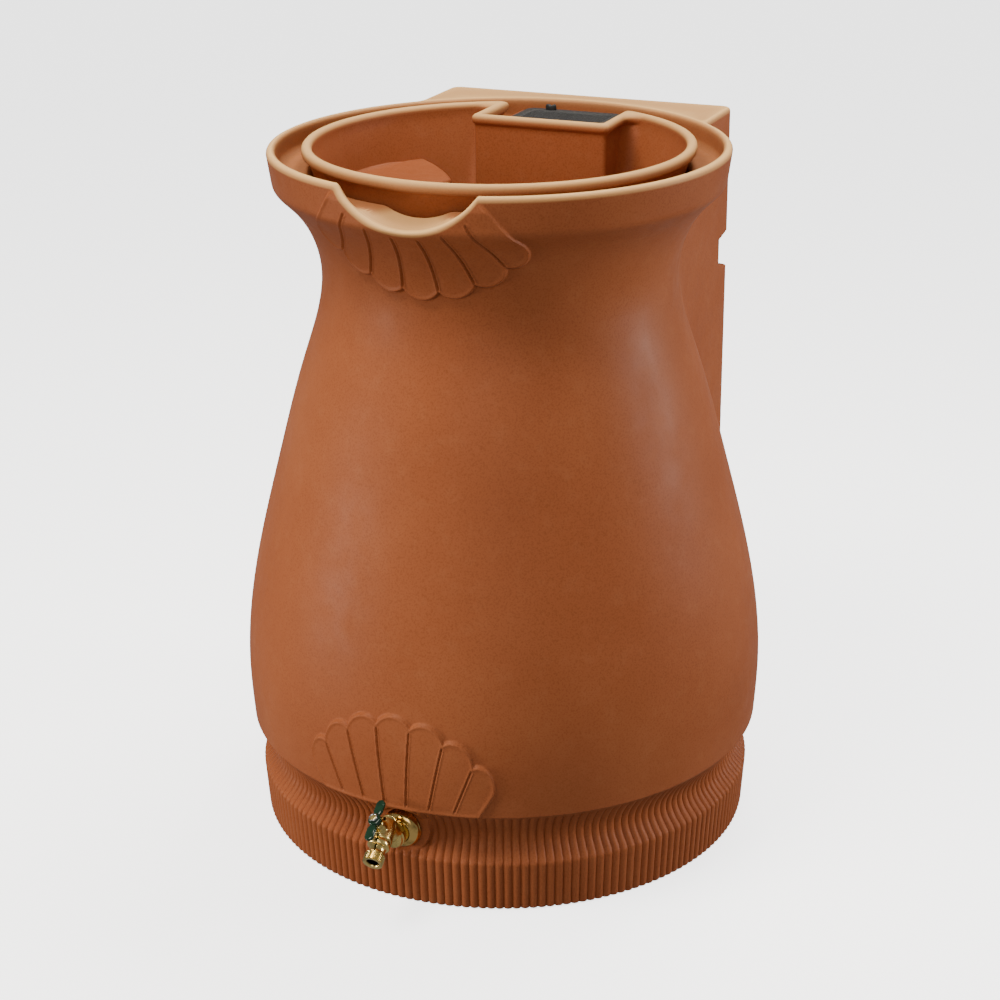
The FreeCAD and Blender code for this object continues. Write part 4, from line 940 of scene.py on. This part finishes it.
def build_spigot():
    inlet = placed(Vector((0, 0, SEAT_HEIGHT)), Vector((0, -1, 0)))
    flow_axis, stem_axis = placed(BALL, FLOW), placed(BALL, STEM)

    # domed wall flange
    dome = [(15.7, 343.2), (15.7, 339.2), (26.4, 339.2), (27.0, 339.8), (27.0, 341.0), (26.6, 341.6)]
    for t in np.radians(np.linspace(4, 86, 14)):
        dome.append((16.6 + 9.6 * math.cos(t), 342.0 + 9.4 * math.sin(t)))
    dome += [(16.2, 352.0), (15.7, 351.4), (15.7, 343.2)]
    turned("flange_dome", dome, inlet, angle=35)

    # cast body
    level = SEAT_HEIGHT
    rear = along(BALL, FLOW, -12.5)
    shapes = [((0, -297, level), (0, -345, level), 13.1, 13.1),
              ((0, -342, level), (0, -366, level), 15.3, 15.3),
              ((0, -362, level), (0, -371, level), 15.2, 13.2),
              ((0, -358, level + 1), along(rear, FLOW, 1), 13.6, 14.6),
              (along(rear, FLOW, -4), along(BALL, FLOW, 11.6), 13.2, 15.2),
              (along(BALL, FLOW, 11.0), along(BALL, FLOW, 13.9), 15.2, 14.4),
              (BALL, along(BALL, STEM, 17.5), 11.4, 9.2),
              (along(BALL, STEM, 16), along(BALL, STEM, 21.9), 9.0, 8.8)]
    cast("spigot_casting", shapes)

    # outlet with a helical hose thread
    profile = [(7.5, 10.0), (10.3, 10.0), (10.3, 13.9), (14.3, 14.0), (14.8, 14.6), (14.8, 20.8),
               (14.4, 21.9), (12.8, 23.0), (11.3, 23.4), (10.8, 24.6), (10.8, 31.6), (11.3, 32.6)]
    thread = [(11.9, 33.2), (12.1, 45.0)]
    end = [(13.0, 45.3), (13.2, 45.7), (12.6, 46.0), (9.4, 46.0), (8.8, 45.6), (7.5, 43.4), (7.5, 10.0)]

    def ridges(radius, height, turn):
        wave = 0.5 + 0.5 * np.cos(2 * math.pi * (height / 2.3) - turn)
        body = smooth_step((height - 32.8) / 1.6) * smooth_step(45.2 - height)
        return np.where((radius > 11.6) & (height < 45.2) & (height > 32.8), 1.3 * wave ** 1.6 * body, 0)

    # The bore inside radius 8 gets painted shade, near black.
    turned("outlet_spout", profile + dense(thread, 0.28) + end, flow_axis, segments=96, ripple=ridges,
           angle=50, painted_shade_below=8.0)

    # stem, nuts and washers
    stem_profile = [(0.0, 10.3), (5.2, 10.3), (5.6, 10.7), (5.6, 12.6), (5.2, 13.0), (4.0, 13.0)]
    stem_profile += dense([(4.0, 30.0), (4.0, 35.2)], 0.3) + [(3.2, 36.0), (0.0, 36.0)]

    def stem_thread(radius, height, turn):
        wave = 0.5 + 0.5 * np.cos(2 * math.pi * height / 1.1 - turn)
        return np.where((height > 31) & (height < 35.3) & (radius > 3.5), -0.45 * wave, 0)

    turned("stem_spindle", stem_profile, stem_axis, segments=40, ripple=stem_thread)
    hex_nut("gland_nut", 10.0, 22.0, 24.0, 4.05, stem_axis)
    hex_nut("handle_locknut", 6.0, 32.0, 36.0, 4.0, stem_axis)
    hex_nut("shank_locknut", 21.0, 314.0, 323.0, 13.25, inlet)
    for name, low, thickness, round_off, slant in (("shank_washer", 323.0, 2.0, 0.4, 0.4),
                                                   ("outer_seal", 336.0, 3.0, 0.6, 0.7),
                                                   ("inner_seal", 325.0, 3.0, 0.6, 0.7)):
        high = low + thickness
        turned(name, [(13.3, low), (25.0 - round_off, low), (25.0, low + slant), (25.0, high - slant),
                      (25.0 - round_off, high), (13.3, high), (13.3, low)], inlet)

    # tee handle: two rounded lobes on a waisted bar with a raised hub
    low = 25.5

    def lobe_half_width(s):
        """Half width of the handle at a distance s from the stem, along the arm."""
        waist = 4.3 + 2.2 * smooth_step((np.abs(s) - 7) / 7)
        tip = np.sqrt(np.maximum(6.5 ** 2 - (np.maximum(np.abs(s) - 23.5, 0)) ** 2, 0)) / 6.5
        hub = np.sqrt(np.maximum(8.5 ** 2 - s ** 2, 0))
        return np.maximum(waist * tip, hub)

    skin = Skin()
    stations = 30.0 * np.sin(np.linspace(-math.pi / 2, math.pi / 2, 91))
    half = lobe_half_width(stations)
    section = around(36)
    cross_x, cross_z = (np.sign(c) * np.abs(c) ** 0.62 for c in (np.cos(section), np.sin(section)))
    thickness = 2.5 * np.minimum(1, np.sqrt(half / 3.0))
    dish = 0.35 * np.exp(-((np.abs(stations) - 21) / 5) ** 2)
    rows = np.stack([half[:, None] * cross_x, stations[:, None] + 0 * cross_x,
                     low + 2.5 + (thickness - dish)[:, None] * cross_z], -1)
    skin.lattice(transform(rows[::-1], stem_axis))
    hub = [(4.05, 0.1), (8.1, 0.1), (8.5, 0.6), (8.5, 5.4), (8.0, 6.2), (7.2, 6.5), (4.6, 6.5),
           (4.05, 6.1), (4.05, 0.1)]
    rows = [revolved(r, low + h, around(48)) for r, h in hub]
    skin.lattice(transform(np.stack(rows), stem_axis))
    skin.build("handle_tee", merge=0.004, smooth_angle=50)

    for node, material in PLAIN.items():
        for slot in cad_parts[node].material_slots:
            slot.material = material


build_tank()
build_planter()
build_screen()
build_spigot()


# ---- floor, light and camera
def build_stage():
    """Pale floor, and the same tone above the horizon for low views; only the camera sees them."""
    paint = Paint("pale_floor")
    paint.surface["Base Color"].default_value = (0.93, 0.93, 0.93, 1)
    paint.surface["Roughness"].default_value = 0.9
    paint.surface["Emission Color"].default_value = (1, 1, 1, 1)
    paint.surface["Emission Strength"].default_value = 2.6
    dome, radius, half = Skin(), 45, 400      # metres
    rise = np.linspace(-0.05, 1.5, 24)[:, None]
    dome.lattice(radius * revolved(np.cos(rise), np.sin(rise), around(64)))
    corners = [(-half, -half, 0), (half, -half, 0), (half, half, 0), (-half, half, 0)]
    for name, points, faces in (("floor", corners, [(0, 1, 2, 3)]), ("backdrop", dome.points[0], dome.faces)):
        mesh = bpy.data.meshes.new(name)
        mesh.from_pydata(points, [], faces)
        mesh.materials.append(paint.material)
        mesh.shade_smooth()
        stage = linked(name, mesh)
        stage.visible_diffuse = stage.visible_glossy = False
        stage.visible_shadow = name == "floor"
        stage.location.z = -0.0004 if name == "floor" else 0


def area_light(name, azimuth, elevation, distance, size, power, colour, height=0.5, spread=180):
    """Soft light aimed at the barrel's middle; azimuth 0 is in front, positive to the right."""
    light = bpy.data.lights.new(name, "AREA")
    light.shape, light.size, light.energy, light.color = "SQUARE", size, power, colour
    light.spread = math.radians(spread)
    lamp = linked(name, light)
    a, e = math.radians(azimuth), math.radians(elevation)
    target = Vector((0, 0, height))
    towards = Vector((math.sin(a) * math.cos(e), -math.cos(a) * math.cos(e), math.sin(e)))
    lamp.location = target + distance * towards
    lamp.rotation_euler = (target - lamp.location).to_track_quat("-Z", "Y").to_euler()


def build_camera():
    azimuth, pitch, roll = np.radians((23.316, 90 - 21.905, -0.551))
    reach, height = 2.6896, 1.5218
    data = bpy.data.cameras.new("camera")
    data.sensor_width, data.lens = 36.0, 75.755
    data.shift_x = -0.0027
    camera = linked("camera", data)
    aim = Matrix.Rotation(azimuth, 4, "Z") @ Matrix.Rotation(pitch, 4, "X") @ Matrix.Rotation(roll, 4, "Z")
    place = (reach * math.sin(azimuth), -reach * math.cos(azimuth), height)
    camera.matrix_world = Matrix.Translation(place) @ aim
    bpy.context.scene.camera = camera


build_stage()
world = bpy.data.worlds.new("studio")
world.use_nodes = True
background = world.node_tree.nodes["Background"].inputs
background["Color"].default_value, background["Strength"].default_value = (1, 1, 1, 1), 0.30
bpy.context.scene.world = world
area_light("key", -28, 60, 2.8, 1.1, 80, (1.0, 0.95, 0.87))
area_light("belly", -50, 2, 2.5, 0.8, 6, (1.0, 0.94, 0.86), 0.22, 60)
area_light("front", 14, 22, 3.0, 1.4, 22, (1.0, 0.97, 0.93), 0.4)
area_light("edge", 112, 12, 2.6, 0.9, 18, (1.0, 0.97, 0.95), 0.4, 100)
area_light("behind", 168, 66, 2.7, 1.2, 75, (1.0, 0.96, 0.90), 0.7)
build_camera()
